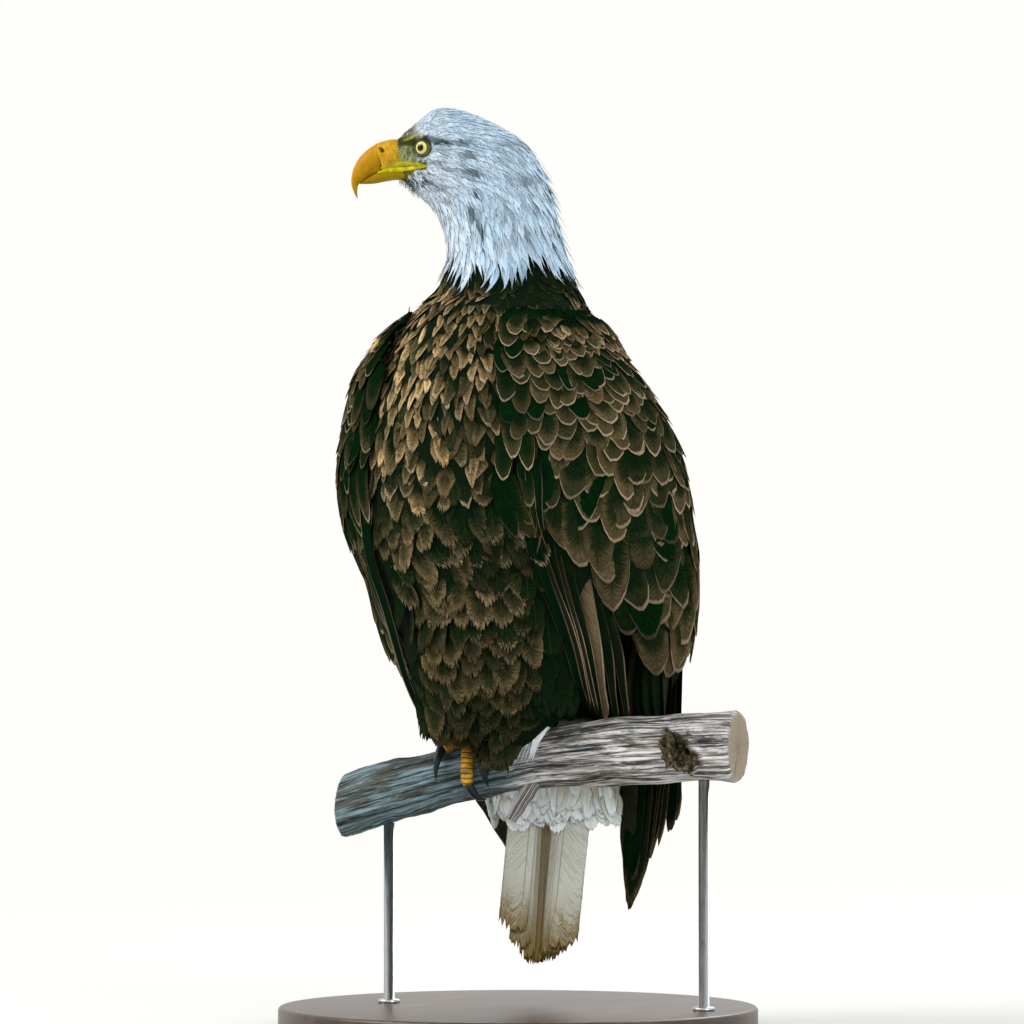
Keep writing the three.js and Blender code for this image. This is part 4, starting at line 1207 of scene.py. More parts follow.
# dark bristles hang from the chin and stand along the lores
def buildBristles():
    surface = skinSurface
    material = featherMaterial("bristle", dict(whiteLook, rootColour=(0.05, 0.05, 0.015)))
    local = toHead(surface.centres)
    x, y, z = np.abs(local[:, 0]), local[:, 1], local[:, 2]
    chance = np.random.default_rng(25)
    chin = (surface.labels == 0) & (y > -116) & (y + chance.normal(0, 4, len(y)) < -102) & (z < 852)
    lores = (surface.labels == 0) & (y > -115) & (y < -101) & (z > 869) & (z < 889) & (x > 8)
    # name, where, gap, length, width, how far they turn aside, how steeply they hang, seed
    for name, wanted, gap, long, width, aside, hang, seed in (
            ("chinBristles", chin, 2.1, 7.5, 0.8, 0, 2.0, 26),
            ("loreBristles", lores, 2.5, 3.4, 0.5, 55, -1.0, 27)):
        roots = surface.scatter(wanted, lambda places: gap + 0 * places[:, 2], seed)[0]
        chance = np.random.default_rng(seed)
        count = len(roots)
        length = long * (0.7 + 0.6 * chance.random(count))
        sway = aside * np.sign(toHead(roots)[:, 0]) + chance.normal(0, 14, count)
        paths, normals = layPaths(roots, length, 3, sway, hang)
        tone = np.array(hoodCoat["bristleColour"]) * (0.5 + chance.random((count, 1)))
        growFeathers(name, material, "hood", paths, normals, {
            "width": width, "lift": -0.3, "rise": 1.4 + chance.random(count), "curve": 18, "thick": 0.3,
        }, tone, 0, hoodCoat["bristle"], seed + 1, flat=hoodFlat(roots))


buildBristles()


# Wing coverts.

wingCoat = {
    "shape": {"grid": (12, 9), "rootWidth": 0.5, "shoulder": 0.4, "narrow": 0.16, "round": 0.3,
        "power": 2.2, "ragged": 0.03, "kinds": 8},
    # height of the tips, then across, down and length of the feathers there
    "sizes": [(720, 11, 10, 30), (680, 13, 12, 38), (620, 16, 16, 48), (560, 20, 20, 62),
        (500, 23, 25, 78), (440, 26, 30, 94), (340, 28, 36, 110)],
    "dark": (0.002, 0.012, 0.0035), "brown": (0.068, 0.052, 0.024), "pale": (0.14, 0.096, 0.05),
    # how low the coverts reach: at the back, how much higher in front, and how fast that falls
    "hem": (345, 122, 12),
}


# tips in rows from the shoulder down: height, degrees, and the width and length there
def covertTips(chance):
    sizeAt = smoothTable(wingCoat["sizes"])
    low, higher, fall = wingCoat["hem"]
    tips, row, z = [], 0, 686.0
    while z > 338:
        across, down, length = sizeAt(z)
        first, last = (float(edge) for edge in wingEdgesAt(z))
        step = math.degrees(across / (float(hullAt(z)[1]) * 0.86))
        for angle in np.arange(last - 2, first + 5, step) + (row % 2) * step / 2:
            lowest = low + higher * math.exp(-fall * max((first - angle) / (first - last), 0))
            drop = z + chance.normal(0, down * 0.3)
            if drop > lowest - 6:
                tips.append((drop, angle + chance.normal(0, step * 0.22), across, length))
        z -= down
        row += 1
    return np.array(tips).T


def buildWingCoat():
    material = featherMaterial("wingFeather", wingLook)
    for name, side in sides.items():
        chance = np.random.default_rng(31 if side > 0 else 32)
        tipHeight, tipDegrees, across, length = covertTips(chance)
        count = len(length)
        length = length * (0.85 + 0.25 * chance.random(count))
        edge = smooth(40, 54, tipDegrees) * smooth(620, 540, tipHeight)
        lean = 6 * smooth(-30, 50, tipDegrees) * (1 - edge) + chance.normal(0, 3.5, count)
        back = 1 - np.linspace(0, 1, 4)
        height = np.minimum(tipHeight[:, None] + length[:, None] * back, 712 + 6 * back)
        degrees = tipDegrees[:, None] - lean[:, None] * (length[:, None] / 60) * back
        paths = onHull(height, degrees, -4.0, side)
        luck = chance.random(count)
        patchy = 0.3 * ripples(paths[:, -1], 70, 35)
        tone = layTones(wingCoat["dark"], (wingCoat["brown"], 1.4 * luck - 0.1 + patchy),
                (wingCoat["pale"], (chance.random(count) - 0.82) * 3.5 + 0.5 * patchy),
                (wingCoat["dark"], 0.7 * edge))
        rim = np.clip(0.3 + 0.7 * chance.random(count) + patchy, 0.05, 1)
        flat = np.stack([0.04 + 0.9 * (tipDegrees + 95) / 160, 0.04 + 0.9 * (tipHeight - 330) / 390], 1)
        growFeathers(f"wingCoverts_{name}", material, "wing", paths, onHullNormal(height, degrees, side), {
            "width": across * (1.5 + 0.35 * chance.random(count)) * (1 - 0.4 * edge), "lift": -0.5,
            "rise": 3.8 + 2.0 * chance.random(count), "curve": 50 + 40 * chance.random(count), "thick": 0.6,
            "roll": chance.normal(0, 4, count) - side * 5 * edge, "curl": chance.normal(-0.8, 0.8, count),
        }, tone, rim, wingCoat["shape"], 33 + (side > 0), [f"wing_{name}"], flat)


buildWingCoat()


# Flight feathers.

flightCoat = {
    "primaries": {"grid": (36, 11), "rootWidth": 0.8, "shoulder": 0.15, "narrow": 0.42, "round": 0.1,
        "power": 1.6, "ragged": 0.01, "notch": 0.07, "crowd": 0.95, "kinds": 8},
    "secondaries": {"grid": (30, 13), "rootWidth": 0.8, "shoulder": 0.15, "narrow": 0.1, "round": 0.08,
        "power": 2.2, "ragged": 0.02, "notch": 0.05, "crowd": 0.95, "kinds": 8},
    "plumes": {"grid": (26, 9), "rootWidth": 0.7, "shoulder": 0.2, "narrow": 0.5, "round": 0.12,
        "power": 1.6, "ragged": 0.03, "notch": 0.05, "kinds": 9},
    # feather number and width
    "widths": [(0, 34), (1, 42), (2, 46), (3, 42), (4, 30), (6, 20), (8, 18), (10, 20), (12, 32), (14, 38)],
    "dark": (0.001, 0.010, 0.0035), "brown": (0.036, 0.031, 0.017), "tan": (0.2, 0.14, 0.075),
}


def flightPaths(numbers, side, name, steps, lift):
    share = np.clip((numbers + 0.5) / (flight["last"] + 1), 0, 1)

    def onWing(key, out):
        s = flight[key]
        degrees = s["from"] + (s["to"] - s["from"]) * share
        return onSection(s["middle"], s["half"], s["front"], s["back"], s["height"], degrees, out, side)
    root, bend = onWing("root", lift), onWing("bend", lift)
    outward = unit(np.array([side * -0.15, 1, 0]))
    tip = smoothTable(flight["tips"][name])(numbers) + outward * (lift * 0.5)[:, None]
    t = np.linspace(0, 1, steps)[:, None]
    paths = root[:, None] * (1 - t) ** 2 + 2 * bend[:, None] * t * (1 - t) + tip[:, None] * t ** 2
    normals = unit((onWing("bend", lift + 1) - bend)[:, None] * (1 - t) + outward * t)
    ahead = unit(np.gradient(paths, axis=1))
    return paths, unit(normals - ahead * (normals * ahead).sum(-1, keepdims=True))


def buildFlight():
    material = featherMaterial("flightFeather", flightLook)
    widthAt = smoothTable(flightCoat["widths"])
    for name, side in sides.items():
        for block, first, last, gap, tuck in (("primaries", 0, 6, 1.0, 5.5), ("secondaries", 7, 14, 0.9, 0)):
            chance = np.random.default_rng(41 + first + side)
            numbers = np.clip(np.arange(first, last + gap, gap), first, last + 0.4)
            count = len(numbers)
            # each lies a little over the one outside it
            lift = -tuck - 2.2 + 0.12 * (numbers - first) + chance.normal(0, 0.1, count)
            paths, normals = flightPaths(numbers, side, name, 9, lift)
            luck = chance.random(count)
            tone = layTones(flightCoat["dark"], (flightCoat["brown"], luck * 0.9 - 0.2))
            growFeathers(f"{block}Vanes_{name}", material, "flight", paths, normals, {
                "width": widthAt(numbers)[:, 0] * (0.95 + 0.1 * luck), "thick": 0.7,
                "roll": -side * 5.0 + chance.normal(0, 1.0, count), "shaftOff": -0.25 * side,
            }, tone, 0.2 + 0.5 * luck, flightCoat[block], 43 + first, [f"{block}_{name}"])


buildFlight()


# long dark feathers at the wing's front edge, laid over the flank
def buildFrontPlumes():
    look = dict(flightLook, rimColour=(0.42, 0.32, 0.21), rim=(0.62, 0.9), rimTip=0.66)
    material = featherMaterial("plumeFeather", look)
    for name, side in sides.items():
        chance = np.random.default_rng(47 + side)
        paths, normals, width, tan, rim = frontPaths(name, side)
        tone = layTones(flightCoat["dark"], (flightCoat["brown"], tan), (flightCoat["tan"], tan - 0.5))
        growFeathers(f"frontPlumes_{name}", material, "flight", paths, normals, {
            "width": width, "thick": 0.6, "roll": -side * 9.0 + chance.normal(0, 1, len(width)),
            "shaftOff": 0.3 * side,
        }, tone, rim, flightCoat["plumes"], 48 + side)


buildFrontPlumes()


# Tail.

tail = {
    "top": 300, "rootY": 60, "tipY": 50,
    "shape": {"grid": (44, 21), "rootWidth": 0.85, "shoulder": 0.1, "narrow": -0.05, "round": 0.045,
        "power": 2.6, "ragged": 0.06, "comb": True, "notch": 0.03, "crowd": 0.9, "kinds": 12},
    "white": (0.6, 0.61, 0.54), "stained": (0.13, 0.085, 0.025),
    # across at the root and at the tip, height of the tip, how far behind, width, shaft, stain
    "feathers": [
        (-9, -25, 94, 0.0, 30, -0.6, 0.0), (-5, -17, 77, 1.6, 23, -0.4, 0.3), (0, -11, 66, 2.8, 18, -0.3, 0.75),
        (6, -6, 61, 3.8, 16, -0.2, 0.9), (11, -2, 62, 4.8, 19, 0.0, 1.0), (16, 2, 68, 6.0, 24, 0.0, 1.0),
        (22, 6, 64, 6.6, 24, 0.0, 1.0), (27, 10, 66, 5.4, 21, 0.2, 1.0), (31, 14, 65, 4.0, 22, 0.3, 0.85),
        (37, 18, 69, 2.8, 25, 0.4, 0.5), (43, 22, 71, 1.4, 27, 0.5, 0.2), (49, 27, 77, 0.0, 32, 0.65, 0.0),
    ],
}


def buildTail():
    rootX, tipX, tipZ, behind, width, shaftOff, stain = np.array(tail["feathers"], float).T
    count = len(rootX)
    chance = np.random.default_rng(51)
    t = np.linspace(0, 1, 7)
    bow = chance.normal(0, 1.2, (count, 1)) * np.sin(np.pi * t) * (stain[:, None] > 0)
    x = rootX[:, None] * (1 - t) + tipX[:, None] * t + bow
    y = tail["rootY"] + (tail["tipY"] - tail["rootY"]) * t + behind[:, None]
    z = tail["top"] + (tipZ[:, None] - tail["top"]) * t
    paths = hipTurned(np.stack([x, y, z], -1))
    # seen from in front, the outer ones lie over the inner ones
    normals = np.broadcast_to(perchAhead, paths.shape)
    tone = layTones(tail["white"], (tail["stained"], stain * (0.7 + 0.3 * chance.random(count))))
    tone *= 0.9 + 0.14 * chance.random((count, 1))
    growFeathers("tailVanes", featherMaterial("tailFeather", tailLook), "tail", paths, normals, {
        "width": width, "curve": 70, "thick": 0.8, "roll": chance.normal(0, 1.5, count), "shaftOff": shaftOff,
    }, tone, 0.95, tail["shape"], 52, ["tail"])


buildTail()

tailCoat = {"shape": {"grid": (10, 11), "rootWidth": 0.4, "shoulder": 0.4, "narrow": 0.3, "round": 0.3,
        "power": 1.7, "ragged": 0.14, "comb": True, "kinds": 9},
        "white": (0.76, 0.82, 0.76), "dirty": (0.46, 0.42, 0.28), "gap": 8.4,
        # a few white plumes blown over the branch: along it, round it, length
        "plumes": {"count": 120, "along": (26, 54), "from": 8, "to": 104, "over": 25.0}}


def buildTailCoat():
    surface = skinSurface
    look = dict(whiteLook, strands=22.0, shaft=0.05, streak=0.2, rootColour=(0.42, 0.46, 0.42))
    material = featherMaterial("tailCovertFeather", look)
    wanted = (surface.labels == 3) & (surface.centres[:, 2] < 308) & (surface.centres[:, 2] > 226)
    roots = surface.scatter(wanted, lambda places: tailCoat["gap"] + 0 * places[:, 2], 61)[0]
    chance = np.random.default_rng(62)
    count = len(roots)
    length = (46 + 20 * chance.random(count)) * (0.55 + 0.45 * smooth(226, 280, roots[:, 2]))
    paths, normals = layPaths(roots, length, 3, chance.normal(0, 8, count))
    dirt = 0.9 * chance.random(count) ** 2 + 0.15 * ripples(roots, 40, 64)
    sizes = {
        "width": 20 + 9 * chance.random(count), "lift": -1.0, "rise": 1.6 + 1.4 * chance.random(count),
        "thick": 0.5, "roll": chance.normal(0, 9, count), "curl": chance.normal(0, 2.0, count),
    }
    growFeathers("tailCovertFeathers", material, "tail", paths, normals, sizes,
            layTones(tailCoat["white"], (tailCoat["dirty"], dirt)), 0.3 + 0.7 * chance.random(count),
            tailCoat["shape"], 63, ["tail_coverts"], flatRound(roots, 70, 180, 340))
    plumes = tailCoat["plumes"]
    one = (plumes["count"], 1)
    first, last = plumes["along"]
    along = first + (last - first) * chance.random(one)
    reach = 0.45 + 0.55 * chance.random(one)
    t = np.linspace(0, 1, 5)
    start = plumes["from"] + 40 * chance.random(one)
    degrees = start + (plumes["to"] - start) * reach * t
    drift = chance.normal(0, 4, one) - 26
    over = plumes["over"] + 3 * chance.random(one) - 18 * t + 6 * t * chance.random(one)
    paths = roundPerch(along + drift * t, degrees, over)
    normals = unit(paths - roundPerch(along + drift * t, degrees, over - 4))
    tone = np.array([0.86, 0.9, 0.92]) * (0.8 + 0.2 * chance.random(one))
    growFeathers("whitePlumes", material, "tail", paths, normals, {
        "width": 6 + 5 * chance.random(len(tone)), "rise": 0.5, "curve": 20, "thick": 0.35,
        "roll": chance.normal(0, 14, len(tone)),
    }, tone, 1.0, hoodCoat["neck"], 66, flat=np.concatenate([0.3 + along / 200, 0.5 + start / 200], 1))


buildTailCoat()


# Bill and cere.

# stations in the head's own frame: lower edge y and z, culmen y and z, half width
bill = {
    "upper": [(-124, 858.6, -124, 885.6, 7.0), (-133.4, 857.2, -133.4, 886.2, 12.9),
        (-137, 855.9, -137.6, 884.4, 12.5),
        (-143, 852.8, -145, 879.3, 11.3), (-149, 849, -152.6, 871.4, 9.2),
        (-152.6, 846, -158, 861.5, 6.9), (-153.9, 843.4, -160.3, 852, 5.2),
        (-154.4, 839.6, -160.2, 844.6, 3.8), (-154.4, 835.6, -158.2, 838.4, 2.4),
        (-154, 832.2, -155.9, 833.4, 1.2), (-153.6, 830.6, -154, 830.9, 0.3)],
    "lower": [(-104, 849.6, -104, 860.5, 12.8), (-116, 849.4, -116, 861.0, 13.0),
        (-126, 848, -126, 859.8, 12.5), (-136, 846.1, -136, 856.9, 10.7),
        (-145, 845.5, -145, 851.6, 7.2), (-150.5, 845.6, -150.5, 848.8, 3.9),
        (-153, 846.2, -153, 847.2, 1.3)],
    "cere": [(-108, 855.6, -108, 889, 15.4), (-114, 857.4, -114, 890.2, 14.9),
        (-120, 858.6, -120.5, 890.2, 14.6), (-127, 858.6, -127.6, 888.6, 14.1),
        (-133.4, 857.6, -134, 886.6, 13.4), (-134.6, 858, -135.2, 885.6, 12.5)],
    # one side of a section from culmen to palate: share of the depth, share of the half width
    "arch": [(1.0, 0.0), (0.985, 0.24), (0.93, 0.46), (0.82, 0.68), (0.66, 0.86), (0.48, 0.96),
        (0.3, 1.0), (0.15, 0.985), (0.04, 0.95), (0.0, 0.88), (0.06, 0.74), (0.12, 0.4), (0.13, 0.0)],
    "keel": [(1.0, 0.0), (0.99, 0.5), (0.96, 0.86), (0.86, 0.99), (0.6, 1.0), (0.32, 0.86), (0.1, 0.55),
        (0.0, 0.0)],
    "nostril": (-129.8, 879), "nostrilSize": (3.6, 1.9), "nostrilSlant": 42,
}


# rings through stations, each with the drawn half section on both sides
def sectionRings(stations, outline, rows, around):
    at = curveAt(stations, np.linspace(0, 1, rows))[:, None]
    half = curveAt(outline, np.linspace(0, 1, around // 2 + 1))
    ring = np.concatenate([half, half[-2:0:-1] * [1, -1]])
    middle = at[..., 0:2] + (at[..., 2:4] - at[..., 0:2]) * ring[:, 0:1]
    return np.concatenate([at[..., 4:5] * ring[:, 1:2], middle], -1)


# a colour, and how strongly it shows at each point
def paintOf(colour, strength):
    return np.concatenate([np.broadcast_to(colour, (*strength.shape, 3)), strength[..., None]], -1)


def billMaterial(name, back):
    wire = Wiring(name, 0.45, 0.08, Coat_Weight=0.03, Coat_Roughness=0.3)
    x, y, _ = wire.uv("vane")
    grain = wire.streaks((x, 26.0), (y, 5.0), detail=5, rough=0.6)
    blotch = wire.noise(wire.place(), 110.0, 4.0, 0.6)
    colour = wire.mix(wire.ramp(y, 0.0, 0.45), (0.19, 0.11, 0.0), (0.34, 0.18, 0.0))
    colour = wire.layers(colour, (wire.ramp(y, 0.5, 1.0), (0.56, 0.22, 0.0)),
            (wire.ramp(blotch, 0.42, 0.7, 0, 0.5), (0.46, 0.27, 0.002)),
            (wire.ramp(x, 0.74, 1.0, 0, 0.6), (0.36, 0.2, 0.004)),
            (wire.ramp(x, 0.75, 0.1, 0, back), (0.3, 0.22, 0.001)),
            (wire.ramp(grain, 0.35, 0.65, 0.25, 0.0), (0.18, 0.09, 0.0)))
    return wire.finish(colour, grain, 0.3, 0.6)


def fleshMaterial(name, low, high, spot, roughness=0.45):
    wire = Wiring(name, roughness, 0.2)
    fine = wire.noise(wire.place(), 650.0, 4.0, 0.6)
    broad = wire.noise(wire.place(), 120.0, 3.0, 0.5)
    paint = wire.attribute("paint")
    colour = wire.layers(wire.mix(wire.ramp(broad, 0.3, 0.7), low, high),
            (wire.ramp(fine, 0.55, 0.8, 0, 0.5), spot), (paint["Alpha"], paint["Color"]))
    return wire.finish(colour, fine, 0.5, 0.7)


def buildBill():
    around = 56
    for key, outline, name, back, rows in (("upper", "arch", "billHorn", 0.0, 64),
            ("lower", "keel", "lowerBillHorn", 0.85, 48)):
        rings = sectionRings(bill[key], bill[outline], rows, around)
        piece = newPiece(f"bill_{key}_horn", *cappedRings(fromHead(rings)), billMaterial(name, back), "bill",
                [f"bill_{key}"])
        share = sectionRings([(0, 0, 0, 1, 0)] * 2, bill[outline], rows, around)[0, :, 2]
        setUv(piece, "vane", gridOf(np.linspace(0, 1, rows), share))
    rows, around = 60, 120
    rings = sectionRings(bill["cere"], bill["arch"], rows, around)
    # its front border curves back towards the mouth
    rings[..., 1] += 6.5 * smooth(880, 860, rings[..., 2]) * np.linspace(0, 1, rows)[:, None] ** 2
    y, z = rings[..., 1], rings[..., 2]
    # the nostril is a slanting pit with a soft rim, and soft folds run down behind it
    dy, dz = y - bill["nostril"][0], z - bill["nostril"][1]
    slant = math.radians(bill["nostrilSlant"])
    long, wide = bill["nostrilSize"]
    away = np.hypot((dy * math.cos(slant) - dz * math.sin(slant)) / long,
            (dy * math.sin(slant) + dz * math.cos(slant)) / wide)
    pit = 1 - smooth(0.55, 1.15, away)
    lip = np.exp(-((away - 1.45) / 0.35) ** 2)
    fold = np.sin((y + 0.5 * (z - 870) + 0.8 * ripples(rings, 9, 91)) * 1.35)
    fold *= smooth(860, 866, z) * smooth(888, 880, z) * smooth(-133, -128, y)
    rings[..., 0] += np.sign(rings[..., 0]) * (0.6 * lip - 2.8 * pit + 0.6 * fold * (1 - pit))
    flesh = fleshMaterial("cereFlesh", (0.36, 0.18, 0.001), (0.56, 0.32, 0.003), (0.16, 0.07, 0.0))
    piece = newPiece("cereSkin", *cappedRings(fromHead(rings)), flesh, "cere", ["cere"])
    # the nostril's pit is painted near black: painted shade in the hole
    dark = paintOf((0.02, 0.006, 0.001), pit ** 0.5 * 0.97)
    olive = paintOf((0.26, 0.22, 0.01), smooth(-121, -113, y) * smooth(886, 866, z) * 0.85)
    setValues(piece, "paint", np.where(dark[..., 3:] > olive[..., 3:], dark, olive))


buildBill()
print("bill and cere built")


# Eyes, lids and the corners of the mouth.

eyes = {"x": 21.3, "y": -85.4, "z": 880.2, "radius": 11.2, "forward": 30, "iris": 6.7, "pupil": 3.1,
        "lidInner": 6.8, "lidOuter": 8.6, "lidRows": 22,
        # a lid's section: share of the way out, and height over the ball
        "lid": [(0.0, -0.6), (0.0, 0.35), (0.1, 0.8), (0.3, 1.0), (0.5, 1.0), (0.75, 0.7), (0.95, 0.2),
        (1.1, -1.0), (1.2, -2.6)]}


# the eye's middle, which way it looks, and the directions across and up from there
def eyeFrame(side):
    forward = math.radians(eyes["forward"])
    gaze = np.array([side * math.cos(forward), -math.sin(forward), 0.02])
    gaze = gaze / np.linalg.norm(gaze)
    up = np.array([0, 0, 1.0]) - gaze * gaze[2]
    up = up / np.linalg.norm(up)
    return np.array([side * eyes["x"], eyes["y"], eyes["z"]], float), gaze, np.cross(up, gaze), up


def eyeMaterial():
    wire = Wiring("eyeball", 0.12, 0.15, Coat_Weight=0.25, Coat_Roughness=0.02)
    turn, reach, _ = wire.uv("vane")
    angle = wire.times(turn, 2 * math.pi)
    rays = wire.streaks((wire.maths("COSINE", angle), 7.0), (wire.maths("SINE", angle), 7.0), (reach, 1.6),
            detail=4.0, rough=0.6)
    iris, pupil = eyes["iris"], eyes["pupil"]
    away = wire.times(reach, eyes["radius"])
    colour = wire.layers(wire.mix(wire.ramp(rays, 0.3, 0.7), (0.46, 0.44, 0.1), (0.72, 0.7, 0.27)),
            (wire.ramp(away, pupil + 1.1, pupil + 0.1), (0.28, 0.22, 0.03)),
            (wire.ramp(away, iris - 0.9, iris), (0.02, 0.02, 0.006)),
            (wire.ramp(away, pupil + 0.15, pupil - 0.15), (0.002, 0.002, 0.002)))
    wire.put(colour, wire.shader.inputs["Base Color"])
    return wire.material


def buildEyes():
    ball = eyeMaterial()
    lidFlesh = fleshMaterial("lidFlesh", (0.07, 0.072, 0.01), (0.17, 0.16, 0.02), (0.02, 0.02, 0.005), 0.5)
    around, rows, radius = 64, 48, eyes["radius"]
    turn = fullTurn(around)
    # the cornea stands a little proud of the ball
    polar = np.linspace(0.0, math.radians(100), rows)
    bulge = radius + 0.7 * (1 - smooth(0, math.radians(42), polar))
    # a lid is a soft ring that starts on the ball and goes under the skin's edge
    profile = curveAt(eyes["lid"], np.linspace(0, 1, eyes["lidRows"]))
    share, proud = profile[:, :1], profile[:, 1:]
    inner = np.arcsin((eyes["lidInner"] - 0.5 * np.maximum(np.sin(turn), 0) ** 2) / radius)
    reach = inner + (np.arcsin(eyes["lidOuter"] / radius) - inner) * share
    height = radius + proud + 0.12 * np.sin(turn * 34) * smooth(0.1, 0.5, share)
    # the lid is dark at its inner rim, and its upper half is painted dark as well: painted shade under the brow
    strength = np.maximum(np.clip(1 - share / 0.16, 0, 1) * 0.95, 0.8 * smooth(0.1, 0.9, np.sin(turn)))
    for name, side in sides.items():
        centre, gaze, across, up = eyeFrame(side)
        ring = spokes(across[None], up[None], turn)[0]

        def dome(label, polar, radius, *more):
            polar, radius = polar[..., None], radius[..., None]
            points = fromHead(centre + radius * (gaze * np.cos(polar) + ring * np.sin(polar)))
            faces = gridQuads(len(points), around, wrap=True)[:, ::side]
            return newPiece(label, points.reshape(-1, 3), faces, *more)
        piece = dome(f"eyeball_{name}", polar[:, None], bulge[:, None], ball, "eye", [f"eye_{name}"])
        uv = gridOf(np.sin(np.minimum(polar, math.pi / 2)), np.linspace(0, 1, around))
        setUv(piece, "vane", uv[..., ::-1])
        lids = dome(f"lids_{name}", reach, height, lidFlesh, "cere")
        setValues(lids, "paint", paintOf((0.02, 0.018, 0.006), strength))


buildEyes()
print("eyes and lids built")

gape = {
    # y, z and radius along the upper and the lower lip, in the head's own frame
    "upper": [(-131, 860.6, 0.6), (-126, 862.4, 2.0), (-120, 863.7, 2.5), (-113, 864.6, 3.0),
        (-106, 864.7, 2.6), (-98, 864.2, 2.0), (-91, 863.6, 1.7), (-86, 862.6, 1.0), (-84, 862.3, 0.4)],
    "lower": [(-134, 856.4, 0.7), (-126, 858.2, 1.6), (-116, 859.3, 2.2), (-106, 860.0, 2.2),
        (-98, 860.6, 1.9), (-91, 861.3, 1.6), (-86, 862.0, 0.9), (-84, 862.3, 0.4)],
    "flat": 0.42, "bury": 0.14,
}


def buildGape():
    # one flesh in two copies: the lower lip's is lighter, a painted highlight along the lip line
    fleshes = {"upper": ("gapeFlesh", (0.22, 0.2, 0.001), (0.42, 0.37, 0.002), (0.1, 0.085, 0.0), 0.6),
            "lower": ("lipFlesh", (0.3, 0.27, 0.001), (0.6, 0.54, 0.002), (0.12, 0.1, 0.0), 0.6)}
    fleshes = {lip: fleshMaterial(*look) for lip, look in fleshes.items()}
    for name, side in sides.items():
        towards = fromHead(np.array([-side * 1.0, 0, 0])) - fromHead(np.zeros(3))
        for lip in ("upper", "lower"):
            y, z, radius = curveAt(gape[lip], np.linspace(0, 1, 40)).T
            starts = fromHead(np.stack([np.full(40, side * 60.0), y, z], 1))
            hits = [skinSurface.tree.ray_cast(start, towards)[0] for start in starts.tolist()]
            x = np.array([toHead(np.array(hit))[0] * side if hit is not None else 0 for hit in hits])
            # in front of the skin it follows the cere's own side
            x = np.maximum(x, np.interp(y, [-128, -114, -108], [13.2, 14.4, 15.0]))
            x = np.convolve(np.pad(x, 3, mode="edge"), np.ones(7) / 7, "valid")
            path = np.stack([side * (x - gape["bury"] * radius), y, z], 1)
            rings = tubeRings(path, radius, 16)
            rings[..., 0] = path[:, None, 0] + (rings[..., 0] - path[:, None, 0]) * gape["flat"]
            piece = newPiece(f"gape_{lip}_{name}", *cappedRings(fromHead(rings)), fleshes[lip], "cere")
            setValues(piece, "paint", np.zeros((rings[..., 0].size, 4)))


buildGape()
print("corners of the mouth built")


# Feet.

feet = {
    "toeRadius": 8.2, "clawRadius": 5.9, "tarsusRadius": 9.5, "lean": 6, "scute": 4.6,
    "pad": (14.5, 13.5, 9.5),
    # along, then per toe: shift, reach, claw shift, claw
    "left": {"along": 0, "knee": (22, -32, 350),
        "toes": [(-17, 58, -3, 46), (0, 64, 2, 44), (19, 40, 4, 46), (2, -64, 0, -74)]},
    "right": {"along": -41, "knee": (-44, -32, 352),
        "toes": [(17, 76, 3, 52), (0, 114, 12, 46), (-31, 40, -3, 56), (-2, -64, 0, -74)]},
}


# places round the branch from one to another, both given along it and in degrees
def graspPath(start, end, over):
    t = np.linspace(0, 1, len(over))
    along = start[0] + (end[0] - start[0]) * t
    return along, roundPerch(along, start[1] + (end[1] - start[1]) * t, over)


# A tube that grips the branch. Each ring's angle 0 points away from the branch.
def gripTube(along, path, radii):
    middle = perchAlong * (path @ perchAlong)[:, None]
    middle[:, 2] = perchAt(along)[:, 0]
    away = unit(path - middle)
    ahead = unit(np.gradient(path, axis=0))
    away = unit(away - ahead * (away * ahead).sum(1, keepdims=True))
    return path[:, None] + radii[..., None] * spokes(away, np.cross(ahead, away), fullTurn(radii.shape[1]))


def footMaterial():
    wire = Wiring("footScale", 0.42)
    along, sole, _ = wire.uv("vane")
    uneven = wire.noise(wire.place(), 130.0)
    wave = wire.maths("ABSOLUTE", wire.maths("ADD", wire.maths("FRACT", along), -0.5))
    groove = wire.times(wire.ramp(wave, 0.34, 0.5), wire.ramp(wire.timesPlus(uneven, -0.9, sole), 0.2, -0.2))
    cells = wire.node("TexVoronoi", {"Vector": wire.place(), "Scale": 420.0}, feature="DISTANCE_TO_EDGE")
    edge = wire.times(wire.ramp(cells["Distance"], 0.12, 0.0), wire.ramp(sole, 0.3, 0.6))
    grain = wire.noise(wire.place(), 160.0, 4.0, 0.6)
    stain = wire.noise(wire.place(), 90.0)
    colour = wire.layers(wire.mix(wire.ramp(grain, 0.35, 0.7), (0.4, 0.18, 0.004), (0.66, 0.36, 0.012)),
            (wire.ramp(stain, 0.48, 0.62, 0, 0.85), (0.16, 0.075, 0.01)),
            (wire.times(groove, 0.9), (0.07, 0.03, 0.004)),
            (wire.times(edge, 0.7), (0.1, 0.05, 0.005)))
    return wire.finish(colour, wire.maths("SUBTRACT", grain, wire.timesPlus(groove, 2.0, edge)), 0.5)


def clawMaterial():
    wire = Wiring("talonHorn", 0.3, 0.2)
    along, sole, _ = wire.uv("vane")
    grain = wire.streaks((along, 3.0), (sole, 14.0), detail=4)
    colour = wire.layers(wire.mix(grain, (0.004, 0.006, 0.008), (0.02, 0.026, 0.03)),
            (wire.ramp(along, 0.18, 0.0, 0, 0.6), (0.09, 0.075, 0.05)))
    return wire.finish(colour, grain, 0.2, 0.5)


